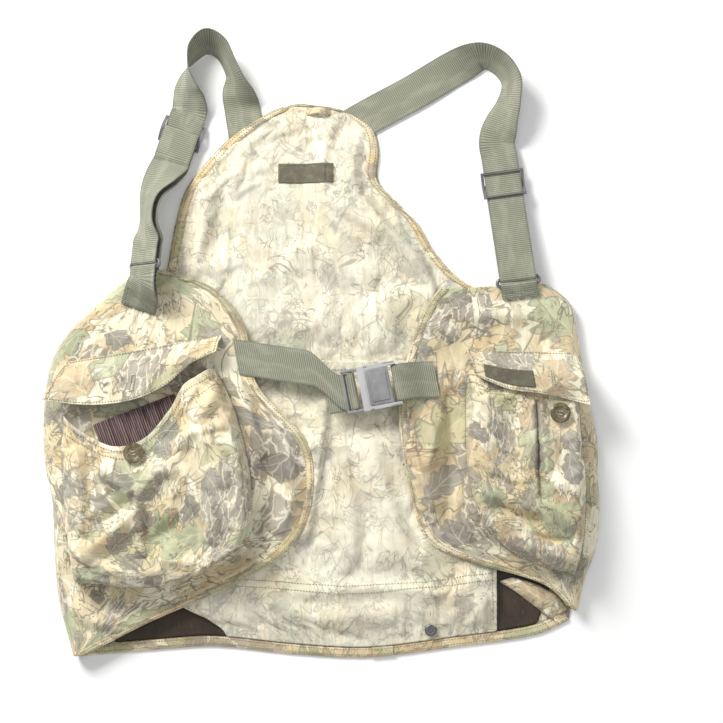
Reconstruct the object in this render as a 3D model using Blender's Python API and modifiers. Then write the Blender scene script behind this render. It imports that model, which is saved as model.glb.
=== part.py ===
# Strap vest lying on its back, front up, straps thrown out above it.
# +X is the right side as it lies, +Y points to the neck, +Z is up, and the floor is z = 0.
# All sizes are in metres.
import math

import bmesh
import bpy
from mathutils import Matrix, Vector

# Overall sizes. The outlines are drafted at the draft size and graded to these.
VEST_WIDTH = 0.580
VEST_LENGTH = 0.660
DRAFT_WIDTH = 0.580
DRAFT_LENGTH = 0.660

# Cloth
CLOTH = 0.0014            # outer cloth, seams and padding included
LINING = 0.0012
LINING_INSET = 0.0025     # from the bib's edge to its lining
LINER = 0.0008            # waterproof floor of the game bag
LINER_INSET = 0.018       # from the side seams to the liner
TAPE = 0.0010             # binding tape, folded
TAPE_WIDTH = 0.010
LABEL = 0.0006
LOOP_LENGTH = 0.026       # hanging loop at the neck
LOOP_WIDTH = 0.006
LOOP_RISE = 0.008
GAP = 0.0003              # clearance between pieces that touch

# Heights of the laid garment
FRONT_LIFT = 0.018        # top of the front panels above the floor
SIDE_ROLL = 0.012         # how far the side fold stands out past the side seam
BAG_FULLNESS = 0.0065     # rise of the game bag's inner panel
BAG_MOUTH = 0.0025        # how much more its open sides stand up
POCKET_DEPTH = 0.030
POCKET_WALL = 0.012       # width taken by a pocket's side wall, seen from above
FLAP_CLEARANCE = 0.003    # between the pocket front and its flap
ELASTIC = 0.0016
ELASTIC_WIDTH = 0.034
ELASTIC_WAVE = 0.0022
SHELL_LOOPS = 5

# Webbing and its hardware
WEBBING_WIDTH = 0.038
WEBBING = 0.0014
BAR_RADIUS = 0.0013       # bars of the tri-glides
RAIL_WIDTH = 0.0030       # side rails of the tri-glides
GLIDE_LENGTH = 0.028
GLIDE_PLAY = 0.0006       # between the webbing's edge and a side rail
RING_BAR = 0.0018         # radius of the strap ring's bars
RING_PLAY = 0.0012
SEWN_END = 0.013          # end of the strap, folded over the tri-glide's middle bar
RING_SPLIT = 0.012        # from the ring to where the strap's return layer begins
TAB_LENGTH = 0.014        # from the right ring to the end of its tab
LEFT_TAB_LENGTH = 0.046   # the left tab lies pulled out of its seam
TAB_STEP = 0.003          # length of a tab's rows

# Chest buckle
BUCKLE_WIDTH = 0.046
BUCKLE_THICKNESS = 0.011
BUCKLE_WALL = 0.0017
BUCKLE_Z = 0.032
BUCKLE_ANGLE = math.radians(11.0)
SOCKET_DEPTH = 0.024
SLOT = 0.0052             # webbing slots of the buckle
BUCKLE_BAR = 0.0026       # thickness of the buckle's webbing bars
LADDER_BAR = 0.0040       # length of the plug's ladder bar, along the strap
END_BAR = 0.0030          # length of the buckle's two end bars, along the strap
PLUG_NOSE = 0.0065
ARM_LENGTH = 0.021
ARM_WIDTH = 0.0040
ARM_THICKNESS = 0.0046
ARM_SEAT = 0.0125         # from the buckle's middle to an arm's inner face
PAD_START = 0.0080        # from an arm's root to its pad
PAD_LENGTH = 0.0100
PAD_PROUD = 0.0006        # how far a pad stands past the socket's cavity wall
LATCH_PLAY = 0.0004
TONGUE_LENGTH = 0.018
TONGUE_WIDTH = 0.009
THROUGH = 0.020           # half height of a cutter that goes right through

CHEST_TAIL = 0.018        # loose end past the plug's rear bar
CHEST_FALL = math.radians(9.0)
CHEST_JOG_LENGTH = 0.030  # sideways fold of the left webbing beside the buckle

# Buttons and the snap
BUTTON_DIAMETER = 0.021
BUTTON_THICKNESS = 0.0032
BUTTON_HOLE = 0.0018
BUTTON_HOLE_SPREAD = 0.0017
THREAD = 0.0005
SNAP_DIAMETER = 0.0125
SNAP_POST_DIAMETER = 0.0060
STUD_HEIGHT = 0.0032
STUD_RIM = 0.0009
CAP_HEIGHT = 0.0018

# Labels
LABEL_LENGTH = 0.050
LABEL_WIDTH = 0.021
SIZE_TAB_WIDTH = 0.008

# Heights that follow from the sizes
LINING_Z = CLOTH + WEBBING + 3 * GAP      # underside of the lining, above the strap ends
LINING_TOP = LINING_Z + LINING
FRONT_TOP = FRONT_LIFT + CLOTH / 2
ON_FRONT = FRONT_TOP + GAP                # underside of what lies on a front panel
ON_TAPE = FRONT_TOP + 2 * GAP + TAPE      # underside of what lies on a front's binding

# Layers of a shoulder strap, as heights over its main layer. The sewn end lies under the main
# layer, the tri-glide's middle bar inside that end, and the return layer below the bar.
SEWN_LIFT = -(WEBBING + GAP)
MIDDLE_BAR_LIFT = SEWN_LIFT - WEBBING / 2 - GAP - BAR_RADIUS
RETURN_LIFT = MIDDLE_BAR_LIFT - BAR_RADIUS - GAP - WEBBING / 2
END_BAR_LIFT = WEBBING / 2 + GAP + BAR_RADIUS
RING_LIFT = RETURN_LIFT / 2
LOOP_RADIUS = -RING_LIFT
TAB_RADIUS = RING_BAR + GAP + WEBBING / 2
RING_LENGTH = LOOP_RADIUS + TAB_RADIUS + WEBBING + GAP
PINCH = (WEBBING + 2 * GAP) / 2           # half the step between a tab's two layers

# Heights of the shoulder straps along their way
STRAP_Z = CLOTH + 1.5 * GAP + WEBBING / 2         # between the bib's layers
SLACK_Z = WEBBING / 2 + GAP                       # a strap's lower edge on the floor
RIGHT_TAB_Z = ON_FRONT + WEBBING / 2 + PINCH - RING_LIFT
RIGHT_RING_Z = ON_FRONT + WEBBING / 2 + TAB_RADIUS - RING_LIFT
RIGHT_RUN_Z = WEBBING / 2 + GAP - RETURN_LIFT + 0.001
LEFT_TAB_Z = ON_FRONT + WEBBING / 2 + PINCH + RING_LIFT + 0.0006
LEFT_RUN_Z = END_BAR_LIFT + BAR_RADIUS + 0.003

# Buckle layout, along the strap from the face where its two halves meet
HALF_WIDTH = BUCKLE_WIDTH / 2
HALF_THICK = BUCKLE_THICKNESS / 2
CAVITY_HALF = HALF_WIDTH - BUCKLE_WALL
BAR_HALF = BUCKLE_BAR / 2
SLOT_HALF = WEBBING_WIDTH / 2 + GLIDE_PLAY
END_WRAP = math.hypot(END_BAR / 2, BAR_HALF) + GAP + WEBBING / 2
LADDER_WRAP = math.hypot(LADDER_BAR / 2, BAR_HALF) + GAP + WEBBING / 2
SOCKET_LENGTH = SOCKET_DEPTH + BUCKLE_WALL + SLOT + END_BAR
LADDER_X = -PLUG_NOSE - SLOT - LADDER_BAR / 2
REAR_X = LADDER_X - LADDER_BAR / 2 - SLOT - END_BAR

vest = bpy.data.collections.new("strap_vest")
cutters = bpy.data.collections.new("cutters")


# ---------------------------------------------------------------- helpers
def clear_scene():
    for obj in list(bpy.data.objects):
        bpy.data.objects.remove(obj, do_unlink=True)
    for group in (vest, cutters):
        bpy.context.scene.collection.children.link(group)


def plan(x, y, z=0.0):
    """A drafted point at the graded size."""
    return Vector((x * VEST_WIDTH / DRAFT_WIDTH, y * VEST_LENGTH / DRAFT_LENGTH, z))


def material(name, colour, roughness, metallic=0.0):
    found = bpy.data.materials.get(name)
    if found:
        return found
    made = bpy.data.materials.new(name)
    made.use_nodes = True
    shader = made.node_tree.nodes["Principled BSDF"]
    shader.inputs["Base Color"].default_value = (*colour, 1.0)
    shader.inputs["Roughness"].default_value = roughness
    shader.inputs["Metallic"].default_value = metallic
    return made


def add_object(name, mesh, skin, group=vest):
    obj = bpy.data.objects.new(name, mesh)
    group.objects.link(obj)
    if skin:
        obj.data.materials.append(material(name + "_finish", *skin))
    return obj


def set_origin(obj, point):
    """Moves an unplaced object's origin to a point, leaving its shape where it is."""
    obj.data.transform(Matrix.Translation(-Vector(point)))
    obj.location = point


def centre_origin(obj):
    corners = [Vector(corner) for corner in obj.bound_box]
    set_origin(obj, sum(corners, Vector()) / 8)


def spline(rows, count):
    """Evenly spaced rows along a smooth curve through the given rows of numbers."""
    rows = [list(row) for row in rows]
    rows = [rows[0], *rows, rows[-1]]
    fine = []
    for k in range(1, len(rows) - 2):
        for step in range(20):
            t = step / 20
            fine.append([
                0.5 * (2 * b + (c - a) * t + (2 * a - 5 * b + 4 * c - d) * t * t
                       + (3 * b - a - 3 * c + d) * t ** 3)
                for a, b, c, d in zip(*rows[k - 1:k + 3])
            ])
    fine.append(rows[-2])
    reach = [0.0]
    for one, two in zip(fine, fine[1:]):
        reach.append(reach[-1] + (Vector(two[:3]) - Vector(one[:3])).length)
    spaced = []
    k = 0
    for step in range(count):
        want = reach[-1] * step / (count - 1)
        while k < len(fine) - 2 and reach[k + 1] < want:
            k += 1
        t = (want - reach[k]) / max(reach[k + 1] - reach[k], 1e-9)
        spaced.append([a + (b - a) * min(max(t, 0.0), 1.0) for a, b in zip(fine[k], fine[k + 1])])
    return spaced


class Edge:
    """A smooth drafted edge, read by the share of its length."""

    def __init__(self, *points):
        graded = [plan(*point) for point in points]
        self.rows = [Vector(row) for row in spline(graded, 97)]

    def at(self, share):
        place = min(max(share, 0.0), 1.0) * (len(self.rows) - 1)
        k = min(int(place), len(self.rows) - 2)
        return self.rows[k].lerp(self.rows[k + 1], place - k)

    def right_of(self, share):
        """The level direction to the right of the edge as it runs."""
        ahead = self.at(share + 0.01) - self.at(share - 0.01)
        return Vector((ahead.y, -ahead.x, 0.0)).normalized()


def ease(t):
    t = min(max(t, 0.0), 1.0)
    return t * t * (3 - 2 * t)


def sheet(name, surface, columns, rows, thickness, skin, origin=None):
    """A grid bent to surface(u, v) and given its thickness evenly about it."""
    bm = bmesh.new()
    bmesh.ops.create_grid(bm, x_segments=columns, y_segments=rows, size=0.5)
    for vert in bm.verts:
        vert.co = surface(vert.co.x + 0.5, vert.co.y + 0.5)
    mesh = bpy.data.meshes.new(name)
    bm.to_mesh(mesh)
    bm.free()
    mesh.shade_smooth()
    obj = add_object(name, mesh, skin)
    if origin is None:
        centre_origin(obj)
    else:
        set_origin(obj, origin)
    thicken = obj.modifiers.new("thickness", "SOLIDIFY")
    thicken.thickness = thickness
    thicken.offset = 0.0
    thicken.use_even_offset = True
    return obj


def flat_plate(name, loops, bottom, thickness, skin):
    """Closed outlines filled flat. Inner loops are holes."""
    curve = bpy.data.curves.new(name, "CURVE")
    curve.dimensions = "2D"
    curve.fill_mode = "BOTH"
    curve.extrude = thickness / 2
    for loop in loops:
        line = curve.splines.new("POLY")
        line.points.add(len(loop) - 1)
        for point, place in zip(line.points, loop):
            point.co = (place[0], place[1], 0.0, 1.0)
        line.use_cyclic_u = True
    obj = add_object(name, curve, skin)
    obj.location = (0.0, 0.0, bottom + thickness / 2)
    return obj


def circle(centre, radius, count=16):
    turns = [math.tau * k / count for k in range(count)]
    return [(centre[0] + radius * math.cos(a), centre[1] + radius * math.sin(a)) for a in turns]


def block(name, low, high, skin=None, group=vest):
    """A box from its low corner to its high corner, in its own frame."""
    low = Vector(low)
    high = Vector(high)
    bm = bmesh.new()
    bmesh.ops.create_cube(bm, size=1.0)
    for vert in bm.verts:
        vert.co = Vector((low[i] if vert.co[i] < 0 else high[i] for i in range(3)))
    mesh = bpy.data.meshes.new(name)
    bm.to_mesh(mesh)
    bm.free()
    return add_object(name, mesh, skin, group)


def rod(name, radius, low, high, axis="Z", sides=16, skin=None, group=vest, at=(0, 0, 0)):
    """A round bar between two distances along an axis."""
    bm = bmesh.new()
    bmesh.ops.create_cone(bm, cap_ends=True, segments=sides, radius1=radius, radius2=radius,
                          depth=high - low)
    turn = {"Z": Matrix(), "X": Matrix.Rotation(math.pi / 2, 4, "Y"),
            "Y": Matrix.Rotation(math.pi / 2, 4, "X")}[axis]
    along = {"Z": Vector((0, 0, 1)), "X": Vector((1, 0, 0)), "Y": Vector((0, 1, 0))}[axis]
    bm.transform(Matrix.Translation(Vector(at) + along * (low + high) / 2) @ turn)
    mesh = bpy.data.meshes.new(name)
    bm.to_mesh(mesh)
    bm.free()
    mesh.shade_smooth()
    mesh.set_sharp_from_angle(angle=math.radians(40))
    return add_object(name, mesh, skin, group)


def turned(name, profile, steps, skin):
    """A profile of (radius, height) points, top to bottom, turned about Z."""
    bm = bmesh.new()
    verts = [bm.verts.new((radius, 0.0, height)) for radius, height in profile]
    for one, two in zip(verts, verts[1:]):
        bm.edges.new((one, two))
    mesh = bpy.data.meshes.new(name)
    bm.to_mesh(mesh)
    bm.free()
    obj = add_object(name, mesh, skin)
    screw = obj.modifiers.new("turn", "SCREW")
    screw.axis = "Z"
    screw.angle = math.tau
    screw.steps = steps
    screw.render_steps = steps
    screw.use_merge_vertices = True
    screw.merge_threshold = 0.00001
    screw.use_smooth_shade = True
    return obj


def combine(obj, other, operation):
    """Cuts or joins another object, which becomes a hidden guide."""
    for group in list(other.users_collection):
        group.objects.unlink(other)
    cutters.objects.link(other)
    other.hide_render = True
    other.display_type = "WIRE"
    other.parent = obj
    step = obj.modifiers.new(operation.lower(), "BOOLEAN")
    step.operation = operation
    step.solver = "EXACT"
    step.object = other


def place(obj, frame):
    obj.matrix_world = frame
    bpy.context.view_layer.update()


# ---------------------------------------------------------------- finishes
CAMO = ((0.62, 0.55, 0.40), 0.92)
CAMO_PALE = ((0.80, 0.77, 0.66), 0.93)
BINDING = ((0.66, 0.58, 0.44), 0.90)
SAGE = ((0.27, 0.31, 0.25), 0.85)
PLASTIC = ((0.055, 0.050, 0.060), 0.40)
BUCKLE_GREY = ((0.10, 0.10, 0.11), 0.42)
HORN = ((0.13, 0.11, 0.06), 0.35)
PALE_THREAD = ((0.60, 0.58, 0.48), 0.90)
GUNMETAL = ((0.06, 0.06, 0.065), 0.35, 0.9)
BROWN_LINER = ((0.060, 0.040, 0.025), 0.55)
PLUM_ELASTIC = ((0.16, 0.10, 0.10), 0.92)
WOVEN_LABEL = ((0.13, 0.14, 0.11), 0.88)

# ---------------------------------------------------------------- outlines
# The back's outline runs from the left side fold, up over the neck and down to the right.
bib_edge = Edge((-0.172, 0.040), (-0.163, 0.082), (-0.154, 0.131), (-0.142, 0.166), (-0.112, 0.204),
                (-0.081, 0.231), (-0.036, 0.253), (0.012, 0.251), (0.052, 0.231), (0.061, 0.204),
                (0.059, 0.174), (0.075, 0.154), (0.102, 0.127), (0.119, 0.098), (0.145, 0.069),
                (0.185, 0.048))
left_side = Edge((-0.196, 0.072), (-0.225, 0.048), (-0.264, 0.010), (-0.284, -0.027),
                 (-0.290, -0.080), (-0.288, -0.128), (-0.280, -0.166), (-0.277, -0.216),
                 (-0.272, -0.267), (-0.262, -0.305), (-0.256, -0.326))
left_edge = Edge((-0.172, 0.076), (-0.112, 0.055), (-0.080, 0.013), (-0.067, -0.046),
                 (-0.017, -0.103), (-0.009, -0.155), (-0.028, -0.208), (-0.086, -0.250),
                 (-0.180, -0.292), (-0.244, -0.325))
right_side = Edge((0.237, 0.060), (0.262, 0.038), (0.269, -0.002), (0.278, -0.050),
                  (0.288, -0.103), (0.288, -0.141), (0.290, -0.178), (0.285, -0.216),
                  (0.274, -0.246), (0.266, -0.279))
right_edge = Edge((0.124, 0.055), (0.109, 0.034), (0.092, -0.010), (0.082, -0.061),
                  (0.083, -0.100), (0.091, -0.145), (0.109, -0.204), (0.155, -0.228),
                  (0.229, -0.251), (0.256, -0.274))
hem_edge = Edge((-0.250, -0.327), (-0.146, -0.318), (-0.102, -0.317), (-0.023, -0.325),
                (0.051, -0.328), (0.134, -0.318), (0.219, -0.306), (0.258, -0.290))

SNAP_AT = (0.114, -0.300)
HANG_LOOP_AT = (-0.004, 0.243)
BACK_LABEL_AT = (-0.021, 0.179)
BUCKLE_AT = (0.047, -0.050)
LEFT_CHEST_END = (-0.089, -0.016)
CHEST_SEWN_X = 0.121      # where the right chest webbing is sewn down
LINING_CORNERS = ((0.185, -0.022), (-0.172, -0.022))
HEM_ENDS = (-0.250, 0.258)
BAG_SIDES = (-0.150, 0.180)
BAG_TOP_Y = -0.026


def back_outline():
    side_inset = plan(SIDE_ROLL * 0.6, 0.0)
    line = [bib_edge.at(k / 34) for k in range(35)]
    line += [right_side.at(0.12 + 0.88 * k / 14) - side_inset for k in range(15)]
    line += [hem_edge.at(1.0 - k / 20) for k in range(1, 20)]
    line += [left_side.at(1.0 - 0.92 * k / 16) + side_inset for k in range(17)]
    return line


def front_surface(side, edge, outward):
    """From the side seam under the fold, round the fold and across to the inner edge."""
    seam_z = CLOTH + GAP + CLOTH / 2

    def surface(u, v):
        outer = side.at(v)
        inner = edge.at(v)
        width = (inner - outer).length
        roll = min(SIDE_ROLL, width * 0.3)
        rise = (FRONT_LIFT - seam_z) / 2
        turn = 0.28
        if u < turn:
            angle = math.pi * u / turn
            centre = outer - outward * roll
            x = centre.x + outward.x * (roll * math.sin(angle))
            return Vector((x, centre.y, seam_z + rise * (1 - math.cos(angle))))
        share = (u - turn) / (1 - turn)
        start = outer - outward * roll
        point = start.lerp(inner, share)
        return Vector((point.x, point.y, FRONT_LIFT))

    return surface


class Pocket:
    """A bellows pocket: side and bottom walls up from the panel, and an open mouth on top."""

    def __init__(self, lip, bottom, left, right, depth):
        self.lip = lip
        self.bottom = bottom
        self.left = left
        self.right = right
        self.depth = depth
        self.wall = 0.14

    def inset(self, share):
        """Squeezes a wall's share of the grid into the wall's width."""
        span = (self.lip.at(1.0) - self.lip.at(0.0)).length
        edge = min(POCKET_WALL / span, 0.2)
        if share < self.wall:
            return share / self.wall * edge
        if share > 1 - self.wall:
            return 1 - (1 - share) / self.wall * edge
        return edge + (share - self.wall) / (1 - 2 * self.wall) * (1 - 2 * edge)

    def outline(self, u, v):
        across = self.lip.at(u).lerp(self.bottom.at(u), v)
        down = self.left.at(v).lerp(self.right.at(v), u)
        top = self.lip.at(0.0).lerp(self.lip.at(1.0), u)
        foot = self.bottom.at(0.0).lerp(self.bottom.at(1.0), u)
        return across + down - top.lerp(foot, v)

    def surface(self, u, v):
        side = ease(min(u, 1 - u) / self.wall)
        end = ease((1 - v) / self.wall)
        point = self.outline(self.inset(u), min(1.0, self.inset(0.5 + v / 2) * 2 - 1))
        belly = 0.85 + 0.15 * math.sin(math.pi * v)
        return Vector((point.x, point.y, self.foot() + self.depth * belly * min(side, end)))

    def foot(self):
        return ON_FRONT + CLOTH / 2

    def normal(self, u, v):
        step = 0.02
        along = self.surface(u + step, v) - self.surface(u - step, v)
        down = self.surface(u, v + step) - self.surface(u, v - step)
        normal = down.cross(along).normalized()
        return normal if normal.z > 0 else -normal


left_pocket = Pocket(
    lip=Edge((-0.268, -0.078), (-0.240, -0.098), (-0.210, -0.110), (-0.180, -0.101),
             (-0.155, -0.072), (-0.138, -0.044), (-0.108, -0.032)),
    bottom=Edge((-0.252, -0.250), (-0.210, -0.251), (-0.165, -0.248), (-0.130, -0.236),
                (-0.104, -0.220)),
    left=Edge((-0.268, -0.078), (-0.268, -0.130), (-0.262, -0.200), (-0.252, -0.250)),
    right=Edge((-0.108, -0.032), (-0.086, -0.085), (-0.073, -0.150), (-0.078, -0.195),
               (-0.104, -0.220)),
    depth=POCKET_DEPTH)
right_pocket = Pocket(
    lip=Edge((0.152, -0.034), (0.190, -0.040), (0.230, -0.044), (0.266, -0.050)),
    bottom=Edge((0.165, -0.178), (0.182, -0.204), (0.206, -0.224), (0.240, -0.237),
                (0.262, -0.242)),
    left=Edge((0.152, -0.034), (0.151, -0.080), (0.153, -0.130), (0.165, -0.178)),
    right=Edge((0.266, -0.050), (0.270, -0.100), (0.274, -0.160), (0.271, -0.210),
               (0.262, -0.242)),
    depth=POCKET_DEPTH)


class Flap:
    """A pocket flap that turns on its straight top seam."""

    def __init__(self, start, end, hem, rise):
        self.start = plan(*start, ON_FRONT + CLOTH / 2)
        self.end = plan(*end, ON_FRONT + CLOTH / 2)
        self.hem = hem
        self.rise = rise

    def surface(self, u, v):
        seam = self.start.lerp(self.end, u)
        hem = self.hem.at(u)
        point = seam.lerp(Vector((hem.x, hem.y, seam.z)), v)
        return Vector((point.x, point.y, seam.z + self.rise * ease(v * 1.9)))

    def above(self, u, v, offset):
        """A point off the flap's outer face."""
        step = 0.02
        along = self.surface(u + step, v) - self.surface(u - step, v)
        down = self.surface(u, v + step) - self.surface(u, v - step)
        return self.surface(u, v) + down.cross(along).normalized() * offset

    def seam_middle(self):
        return (self.start + self.end) / 2


left_flap = Flap((-0.266, -0.022), (-0.104, 0.006),
                 Edge((-0.288, -0.062), (-0.240, -0.067), (-0.195, -0.062), (-0.160, -0.046),
                      (-0.134, -0.024), (-0.108, -0.012)),
                 rise=POCKET_DEPTH * 0.55)
right_flap = Flap((0.152, -0.010), (0.266, -0.012),
                  Edge((0.158, -0.037), (0.192, -0.051), (0.226, -0.056), (0.248, -0.060),
                       (0.276, -0.068)),
                  rise=POCKET_DEPTH + CLOTH + FLAP_CLEARANCE)


def on_path(path, share):
    """The point at a share of a path of evenly weighted points."""
    spot = share * (len(path) - 1)
    k = min(int(spot + 1e-6), len(path) - 2)
    t = spot - k
    return [a + (b - a) * t for a, b in zip(path[k], path[k + 1])]


def half_turn(centre, radius, steps, first=0):
    """Points of a half circle that bulges forward, from its high end down to its low end."""
    turns = [math.pi * k / steps for k in range(first, steps + 1)]
    return [(centre[0] + radius * math.sin(a), centre[1] + radius * math.cos(a)) for a in turns]


def level_run(start, end, across, count):
    """Evenly spaced rows of a straight stretch, both ends included."""
    low = Vector(start)
    high = Vector(end)
    return [(*low.lerp(high, k / (count - 1)), *across) for k in range(count)]


class Route:
    """The middle line of a strap, with the way its width points, read by distance.

    A row is the drafted x and y, the height of the strap's lower edge, and its width's direction.
    """

    def __init__(self, *rows):
        self.rows = []
        for x, y, low, wx, wy, wz in rows:
            across = Vector((wx, wy, wz)).normalized()
            height = low + abs(across.z) * WEBBING_WIDTH / 2
            self.rows.append([*plan(x, y, height), *across])
        self.fine = spline(self.rows, 241)
        self.length = sum((Vector(b[:3]) - Vector(a[:3])).length
                          for a, b in zip(self.fine, self.fine[1:]))

    def frame(self, distance):
        """Along, across and up at a distance, with the point itself."""
        share = min(max(distance / self.length, 0.0), 1.0) * (len(self.fine) - 1)
        k = min(int(share), len(self.fine) - 2)
        one = self.fine[k]
        two = self.fine[k + 1]
        mid = [a + (b - a) * (share - k) for a, b in zip(one, two)]
        low = self.fine[max(k - 1, 0)]
        high = self.fine[min(k + 2, len(self.fine) - 1)]
        along = (Vector(high[:3]) - Vector(low[:3])).normalized()
        across = Vector(mid[3:])
        across = (across - along * across.dot(along)).normalized()
        point = Vector(mid[:3])
        extra = distance - min(max(distance, 0.0), self.length)
        return point + along * extra, along, across, along.cross(across)

    def nearest(self, x, y):
        """The distance along the strap that comes closest to a drafted point."""
        spot = plan(x, y)
        steps = [self.length * k / 400 for k in range(401)]
        return min(steps, key=lambda d: (self.frame(d)[0].xy - spot.xy).length)

    def point(self, distance, lift, side):
        middle, along, across, up = self.frame(distance)
        return middle + up * lift + across * side

    def matrix(self, distance, lift=0.0, face=1):
        """The frame of a piece on the strap. Face is -1 where the strap lies wrong side up."""
        middle, along, across, up = self.frame(distance)
        frame = Matrix((along, across * face, up * face)).transposed()
        return Matrix.Translation(middle + up * lift * face) @ frame.to_4x4()


# ---------------------------------------------------------------- straps

class ShoulderStrap:
    """One shoulder strap: its route, its adjuster's place and the ring at its lower end."""

    def __init__(self, side, route, glide, tab_length, face):
        self.side = side
        self.route = route
        self.face = face
        self.tab_length = tab_length
        self.ring_at = route.length - tab_length - RING_LENGTH
        self.glide_at = route.nearest(*glide)

    def ribbon(self, name, path):
        """Webbing along a path of (distance, height over the main layer) points."""
        def surface(u, v):
            distance, lift = on_path(path, v)
            return self.route.point(distance, lift * self.face, (u - 0.5) * WEBBING_WIDTH)
        sheet(f"{self.side}_{name}", surface, 2, len(path) - 1, WEBBING, SAGE)

    def main(self):
        steps = 44
        path = [(self.ring_at * k / steps, 0.0) for k in range(steps + 1)]
        path += half_turn((self.ring_at, RING_LIFT), LOOP_RADIUS, 8, first=1)
        path.append((self.ring_at - RING_SPLIT + GAP, RETURN_LIFT))
        self.ribbon("strap_webbing", path)

    def back_layer(self):
        start = self.ring_at - RING_SPLIT
        steps = max(6, round((start - self.glide_at) / 0.008))
        reach = self.glide_at - start
        path = [(start + reach * k / steps, RETURN_LIFT) for k in range(steps + 1)]
        path += half_turn((self.glide_at, MIDDLE_BAR_LIFT), RETURN_LIFT - MIDDLE_BAR_LIFT, 6, first=1)
        path.append((self.glide_at + SEWN_END / 2, SEWN_LIFT))
        path.append((self.glide_at + SEWN_END, SEWN_LIFT))
        self.ribbon("strap_return", path)

    def tri_glide(self):
        name = f"{self.side}_tri_glide"
        half = GLIDE_LENGTH / 2 - BAR_RADIUS
        reach = WEBBING_WIDTH / 2 + GLIDE_PLAY + RAIL_WIDTH / 2
        body = None
        for hand in (-1, 1):
            def rail(u, v, hand=hand):
                along = (v - 0.5) * 2 * (half + BAR_RADIUS)
                bend = min(abs(along) / half, 1.0) ** 1.6
                lift = MIDDLE_BAR_LIFT + (END_BAR_LIFT - MIDDLE_BAR_LIFT) * bend
                return Vector((along, hand * reach, lift + (u - 0.5) * 2 * BAR_RADIUS))
            made = sheet(f"{name}_rail_{hand}" if body else name, rail, 1, 10, RAIL_WIDTH,
                         PLASTIC, origin=(0, 0, 0))
            if body:
                combine(body, made, "UNION")
            body = body or made
        for along, lift in ((-half, END_BAR_LIFT), (0.0, MIDDLE_BAR_LIFT), (half, END_BAR_LIFT)):
            bar = rod(name + "_bar", BAR_RADIUS * 0.98, -reach, reach, "Y", 10, at=(along, 0, lift))
            combine(body, bar, "UNION")
        place(body, self.route.matrix(self.glide_at, 0.0, self.face))

    def ring(self):
        half = RING_LENGTH / 2
        reach = WEBBING_WIDTH / 2 + RING_PLAY + RING_BAR
        bend = min(half * 0.9, 0.0035)
        curve = bpy.data.curves.new(f"{self.side}_strap_ring", "CURVE")
        curve.dimensions = "3D"
        curve.bevel_depth = RING_BAR
        curve.bevel_resolution = 2
        line = curve.splines.new("POLY")
        points = []
        for quarter, corner in enumerate(((1, 1), (-1, 1), (-1, -1), (1, -1))):
            for step in range(4):
                angle = math.pi / 2 * (quarter + step / 3)
                points.append((corner[0] * (half - bend) + bend * math.cos(angle),
                               corner[1] * (reach - bend) + bend * math.sin(angle)))
        line.points.add(len(points) - 1)
        for point, spot in zip(line.points, points):
            point.co = (*spot, 0.0, 1.0)
        line.use_cyclic_u = True
        obj = add_object(f"{self.side}_strap_ring", curve, PLASTIC)
        place(obj, self.route.matrix(self.ring_at + half, RING_LIFT, self.face))

    def tab(self):
        bar_at = self.ring_at + RING_LENGTH
        end = bar_at + self.tab_length
        middle = bar_at + self.tab_length / 2
        steps = max(2, round((end - middle) / TAB_STEP))
        spots = [end + (middle - end) * k / steps for k in range(steps + 1)]
        upper = [(distance, RING_LIFT + PINCH) for distance in spots]
        lower = [(distance, RING_LIFT - PINCH) for distance in reversed(spots)]
        turn = half_turn((0.0, RING_LIFT), TAB_RADIUS, 8)
        path = upper + [(bar_at - reach, lift) for reach, lift in turn] + lower
        self.ribbon("anchor_tab", path)

    def build(self):
        self.main()
        self.back_layer()
        self.tri_glide()
        self.ring()
        self.tab()


# From between the bib's layers, out over the floor, round a standing turn and down to the ring.
right_strap = ShoulderStrap("right", Route(
    (0.030, 0.229, STRAP_Z, -0.49, 0.87, 0.00),
    (0.056, 0.244, STRAP_Z, -0.49, 0.87, 0.00),
    (0.100, 0.268, STRAP_Z, -0.49, 0.87, 0.00),
    (0.140, 0.291, SLACK_Z, -0.42, 0.85, 0.30),
    (0.167, 0.302, SLACK_Z, -0.05, 0.60, 0.80),
    (0.187, 0.295, SLACK_Z, 0.36, 0.28, 0.89),
    (0.200, 0.276, SLACK_Z, 0.45, 0.06, 0.89),
    (0.197, 0.252, SLACK_Z, 0.62, 0.04, 0.78),
    (0.190, 0.232, 0.003, 0.86, 0.08, 0.48),
    *level_run((0.1852, 0.2125, RIGHT_RUN_Z), (0.2045, 0.072, RIGHT_RING_Z), (0.99, 0.135, 0.0), 10),
    (0.2065, 0.057, RIGHT_RING_Z, 0.99, 0.135, 0.00),
    (0.2080, 0.045, RIGHT_TAB_Z, 0.99, 0.135, 0.00)),
    glide=(0.191, 0.166), tab_length=TAB_LENGTH, face=1)
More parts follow.
